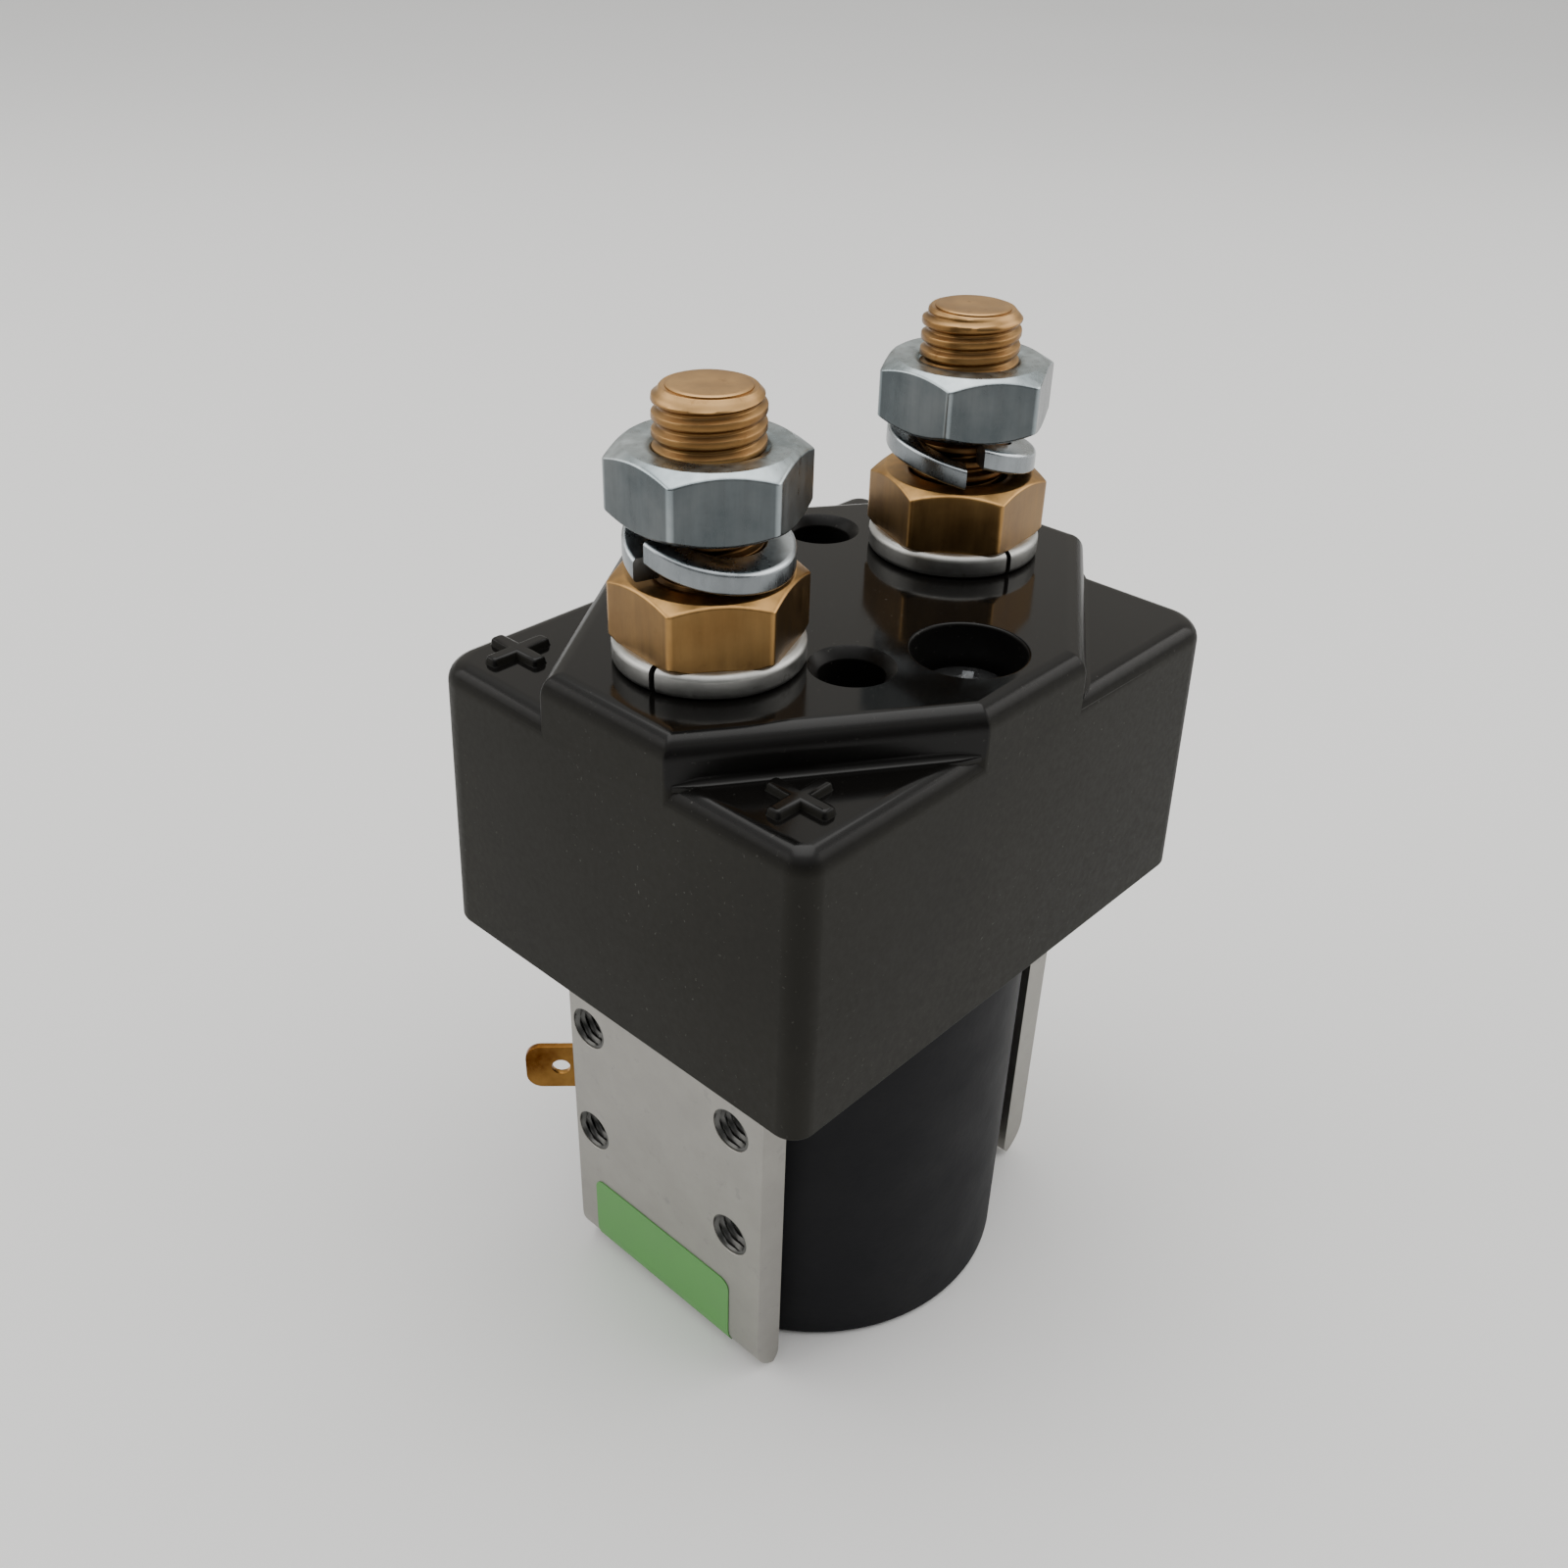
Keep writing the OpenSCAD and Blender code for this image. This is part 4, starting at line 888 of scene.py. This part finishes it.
def build_strap():
    """Bent strap with its tenons, the hole and notches of its web, and eight tapped holes."""
    rings = [[(x, y, z) for x, z in strap_profile()] for y in (ARM_Y, -ARM_Y)]
    strap = new_object("strap_frame", *loft(rings))
    inner = STRAP_X - STRAP_T
    for low, high in ((-STRAP_X, -inner), (inner, STRAP_X)):
        boolean(strap, box("tenon", (low, -7, 48), (high, 7, 52)), "UNION")
    boolean(strap, revolve("web", [(0, -1), (9.48, -1), (9.48, 5), (0, 5)]))
    # the web is narrower than the arms, with a rounded toe where each arm begins
    toe = 2.0
    bend = np.radians(np.linspace(10, 80, 8))
    notch = [(inner, BEND_R + 0.01), (inner, toe)]
    notch += [(inner + toe - toe * math.cos(a), toe - toe * math.sin(a)) for a in bend]
    notch += [(inner + toe, 0), (inner + toe, -1)]
    notch += [(-x, z) for x, z in notch[::-1]]
    for ends in ((12.0, 20.0), (-20.0, -12.0)):
        boolean(strap, new_object("notch", *loft([[(x, y, z) for x, z in notch] for y in ends])))
    bevel(strap, 0.22)

    hole_profile = [(0, -1), (2.56, -1), (2.56, 0), (2.5, 0.06), (2.5, 5), (0, 5)]
    thread = tap_sleeve()
    sleeves = []
    places = [(side, y, z) for side in (-1, 1) for y in TAP_Y for z in TAP_Z]
    for side, y, z in places:
        turn = Matrix.Rotation(math.radians(-side * 90), 4, "Y")
        place = Matrix.Translation(Vector((side * STRAP_X, y, z)) * MM) @ turn
        hole = revolve("hole", hole_profile, 48)
        hole.data.transform(place)
        boolean(strap, hole)
        tap = new_object("tap", *thread, 30.0)
        tap.data.transform(place)
        sleeves.append(tap)
    weigh(strap, 32.0)
    dress(strap, "strap", "frame", ["frame_yoke"])
    taps = join(sleeves, "tapped_threads")
    shade(taps, 40.0)
    # their dark colour is painted shade inside the holes
    dress(taps, "thread_shaded", "frame", None)


def build_jacket():
    """Cylinder with a flat at each end of x, open below for the web, and slotted for the tabs."""
    radius, flat, low, high, edge = 22.8, 21.65, 0.1, 48.4, 0.9

    def ring(inset, z):
        r = radius - inset
        half = math.degrees(math.acos((flat - inset) / r))
        pts = arc(0, 0, r, half, 180 - half, 60) + arc(0, 0, r, 180 + half, 360 - half, 60)
        return [(x, y, z) for x, y in pts]

    angles = np.radians((90, 70, 50, 30, 12, 0))
    rings = [ring(edge * (1 - math.cos(a)), low + edge * (1 - math.sin(a))) for a in angles]
    rings += [ring(0.0, high - 0.3), ring(0.3, high)]
    jacket = new_object("jacket_shell", *loft(rings))
    boolean(jacket, revolve("inside", [(0, 3.49), (20.5, 3.49), (20.5, 60), (0, 60)], 128))
    boolean(jacket, box("channel", (-30, -12.2, -1), (30, 12.2, 4.6)))
    for turn in TAB_TURNS.values():
        slot = box("slot", (19.5, -0.45, 18.1), (24.5, 0.45, 24.5))
        slot.data.transform(Matrix.Rotation(math.radians(turn), 4, "Z"))
        boolean(jacket, slot)
    weigh(jacket, 35.0)
    dress(jacket, "jacket", "frame", ["coil_jacket"])


def build_tab(name):
    """Push-on tab with a hole and rounded corners, name being left or right."""
    root, tip, half_w, half_t, r = 20.6, 34.9, 3.15, 0.4, 1.9
    outline = [(root, -half_w)] + arc(tip - r, -half_w + r, r, 270, 360, 8)
    outline += arc(tip - r, half_w - r, r, 0, 90, 8) + [(root, half_w)]
    rings = [[(x, y, TAB_Z + h) for x, h in outline] for y in (half_t, -half_t)]
    tab = new_object("spade_tab_" + name, *loft(rings))
    hole = revolve("hole", [(0, -2), (1.1, -2), (1.1, 2), (0, 2)], 32)
    place = Matrix.Translation(Vector((tip - 4.2, 0, TAB_Z)) * MM)
    hole.data.transform(place @ Matrix.Rotation(math.radians(90), 4, "X"))
    boolean(tab, hole)
    bevel(tab, 0.12)
    tab.data.transform(Matrix.Rotation(math.radians(TAB_TURNS[name]), 4, "Z"))
    weigh(tab, 35.0)
    dress(tab, "tab", "frame", ["coil_tab_" + name])


def build_label():
    """Blank label with rounded corners, carried a little way round the strap's bend."""
    y0, y1, flat, t, r = -10.2, 11.8, 7.7, 0.115, 1.3
    turn = math.radians(44.5)
    length = turn * BEND_R + flat

    def place(s, out):
        if s > turn * BEND_R:
            return -STRAP_X - out, BEND_R + s - turn * BEND_R
        a = math.pi + turn - s / BEND_R
        bend = BEND_R + out
        return -STRAP_X + BEND_R + bend * math.cos(a), BEND_R + bend * math.sin(a)

    ends = [(r * (1 - math.cos(a)), r * (1 - math.sin(a))) for a in quarter(9)]
    rings = []
    for y, cut in [(y1 - d, c) for d, c in ends] + [(y0 + d, c) for d, c in ends[::-1]]:
        rows = np.linspace(cut, length - cut, 25)
        ring = [place(s, t) for s in rows] + [place(s, 0.004) for s in rows[::-1]]
        rings.append([(x, y, z) for x, z in ring])
    label = new_object("label_sheet", *loft(rings))
    shade(label, 30.0)
    dress(label, "green", "frame", ["blank_label"])


def build_spring(name, node, body, mean_d, wire, turns, z0, z1):
    """Round-wire compression spring from z0 to z1."""
    r, w = mean_d / 2, wire / 2
    count, sides = int(turns * 48), 14
    section = [2 * math.pi * i / sides for i in range(sides)]
    rings = []
    for u in (k / count for k in range(count + 1)):
        a, z = 2 * math.pi * turns * u, z0 + w + (z1 - z0 - wire) * u
        rings.append([polar(r + w * math.cos(b), a, z + w * math.sin(b)) for b in section])
    obj = new_object(name, *loft(rings), 50.0)
    dress(obj, "spring", body, [node])
    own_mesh(obj)


# ---------------------------------------------------------------- floor, light, camera

def build_floor():
    reach = 4.0  # metres
    corners = ((-reach, -reach, 0), (reach, -reach, 0), (reach, reach, 0), (-reach, reach, 0))
    mesh = bpy.data.meshes.new("floor")
    mesh.from_pydata(corners, [], [(0, 1, 2, 3)])
    floor = put("floor", mesh)
    mat, tree, bsdf, pos = node_material("floor_white")
    tone = ramp(tree, noise(tree, pos, 2.0, 2.0, 0.5), [(0.3, 0.90), (0.7, 0.92)])
    tree.links.new(tone, bsdf.inputs["Base Color"])
    bsdf.inputs["Roughness"].default_value = 0.9
    floor.data.materials.append(mat)


def area_light(name, at, target, size, power, colour):
    """Rectangular lamp; places and sizes are in metres."""
    data = bpy.data.lights.new(name, "AREA")
    data.shape = "RECTANGLE"
    data.size, data.size_y = size
    data.energy = power
    data.color = colour
    lamp = put(name, data)
    lamp.location = at
    lamp.rotation_euler = (Vector(target) - Vector(at)).to_track_quat("-Z", "Y").to_euler()


def build_light():
    """Bright ceiling, grey walls that are darker on the camera's side, and three soft lamps."""
    world = bpy.data.worlds.new("studio")
    bpy.context.scene.world = world
    world.use_nodes = True
    tree = world.node_tree
    tree.nodes.clear()
    out = tree.nodes.new("ShaderNodeOutputWorld")
    back = tree.nodes.new("ShaderNodeBackground")
    direction = tree.nodes.new("ShaderNodeTexCoord").outputs["Generated"]
    up = split(tree, direction)[2]
    away = tree.nodes.new("ShaderNodeVectorMath")
    away.operation = "DOT_PRODUCT"
    away.inputs[1].default_value = (0.743, 0.669, 0.0)  # the camera's heading, made level
    tree.links.new(direction, away.inputs[0])
    near = ramp(tree, up, [(0.0, 0.06), (0.45, 0.20), (0.8, (1.0, 1.0, 0.99)),
                           (1.0, (1.3, 1.3, 1.28))])
    far = ramp(tree, up, [(0.0, (0.30, 0.29, 0.26)), (0.35, (0.50, 0.48, 0.44)),
                          (0.60, (0.62, 0.60, 0.56)), (0.8, (1.0, 1.0, 0.98)),
                          (1.0, (1.3, 1.3, 1.28))])
    side = span(tree, away.outputs["Value"], 0.0, 1.0, -0.25, 0.6)
    tree.links.new(mix(tree, side, near, far), back.inputs["Color"])
    back.inputs["Strength"].default_value = 1.0
    tree.links.new(back.outputs[0], out.inputs[0])
    area_light("overhead", (0.10, 0.10, 0.9), (0, 0, 0.05), (0.9, 0.8), 3.0, (1.0, 0.99, 0.97))
    for name, x, y in (("left", -0.58, 0.55), ("right", 0.58, -0.55)):
        area_light(name, (x, y, 0.42), (0, 0, 0.06), (0.9, 0.6), 3.4, (1.0, 0.98, 0.95))


def build_camera():
    """The photograph's camera, fitted to measured corners and hole centres."""
    data = bpy.data.cameras.new("camera")
    data.sensor_fit = "HORIZONTAL"
    data.sensor_width = 36.0
    data.lens = 34.709
    data.clip_start, data.clip_end = 0.005, 20.0
    cam = put("camera", data)
    right = Vector((0.681203, -0.731619, 0.026363))
    down = Vector((-0.376355, -0.380853, -0.844576))
    ahead = Vector((0.627948, 0.565406, -0.534787))
    rot = Matrix((right, -down, -ahead)).transposed().to_4x4()
    cam.matrix_world = Matrix.Translation(Vector((-105.0, -87.881, 147.842)) * MM) @ rot
    bpy.context.scene.camera = cam


# ---------------------------------------------------------------- the pieces

build_cover()
build_stud(-1)
build_stud(1)
build_nuts("brass_hex_nuts", "brass_nuts", "brass_nut", BRASS_Z, 6.2, BRASS_TURNS,
           top_r=7.72, foot_r=8.75, corner_soft=0.22)
build_nuts("steel_hex_nuts", "steel_nuts", "steel_nut", STEEL_Z, 6.5, STEEL_TURNS,
           top_r=7.45, foot_r=7.6, corner_soft=0.3)
split_washers("sprung_washers", "lock_washers", "spring_zinc", LOCK_Z,
              (173.0, 228.0), 12.0, washer_section(WASHER_BORE, 7.7, 2.2, 0.42),
              rise=2.5, lean=0.68)
split_washers("pressed_washers", "seat_washers", "dull_zinc", TOP_Z, (191.0, 257.0),
              2 * math.degrees(math.asin(0.3 / 8.95)), washer_section(WASHER_BORE, 8.95, 2.5, 0.7))
build_screws()
build_strap()
build_jacket()
build_tab("left")
build_tab("right")
build_label()
build_spring("return_coil", "return_spring", "frame", mean_d=9.4, wire=1.0,
             turns=5, z0=34.95, z1=47.0)
build_spring("contact_coil", "contact_spring", "plunger", mean_d=11.2,
             wire=1.4, turns=3, z0=55.5, z1=63.8)

# CAD nodes that keep their own shape get their finish here
for mat, nodes in {
    "strap": ["pole_plate"], "iron": ["fixed_core", "plunger"], "nylon": ["coil_bobbin"],
    "wire": ["coil_winding"], "steel": ["plunger_shaft"], "fibre": ["buffer_washer"],
    "cream": ["spring_seat", "bridge_bush", "bridge_washer"], "copper": ["moving_bridge"],
    "silver": ["bridge_tips", "stud_tips"], "spring": ["shaft_clip"],
    "ferrite": ["blowout_magnets"], "screw": ["screw_washers"],
}.items():
    for node in nodes:
        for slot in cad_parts[node].material_slots:
            slot.material = MATS[mat]

build_floor()
build_light()
build_camera()
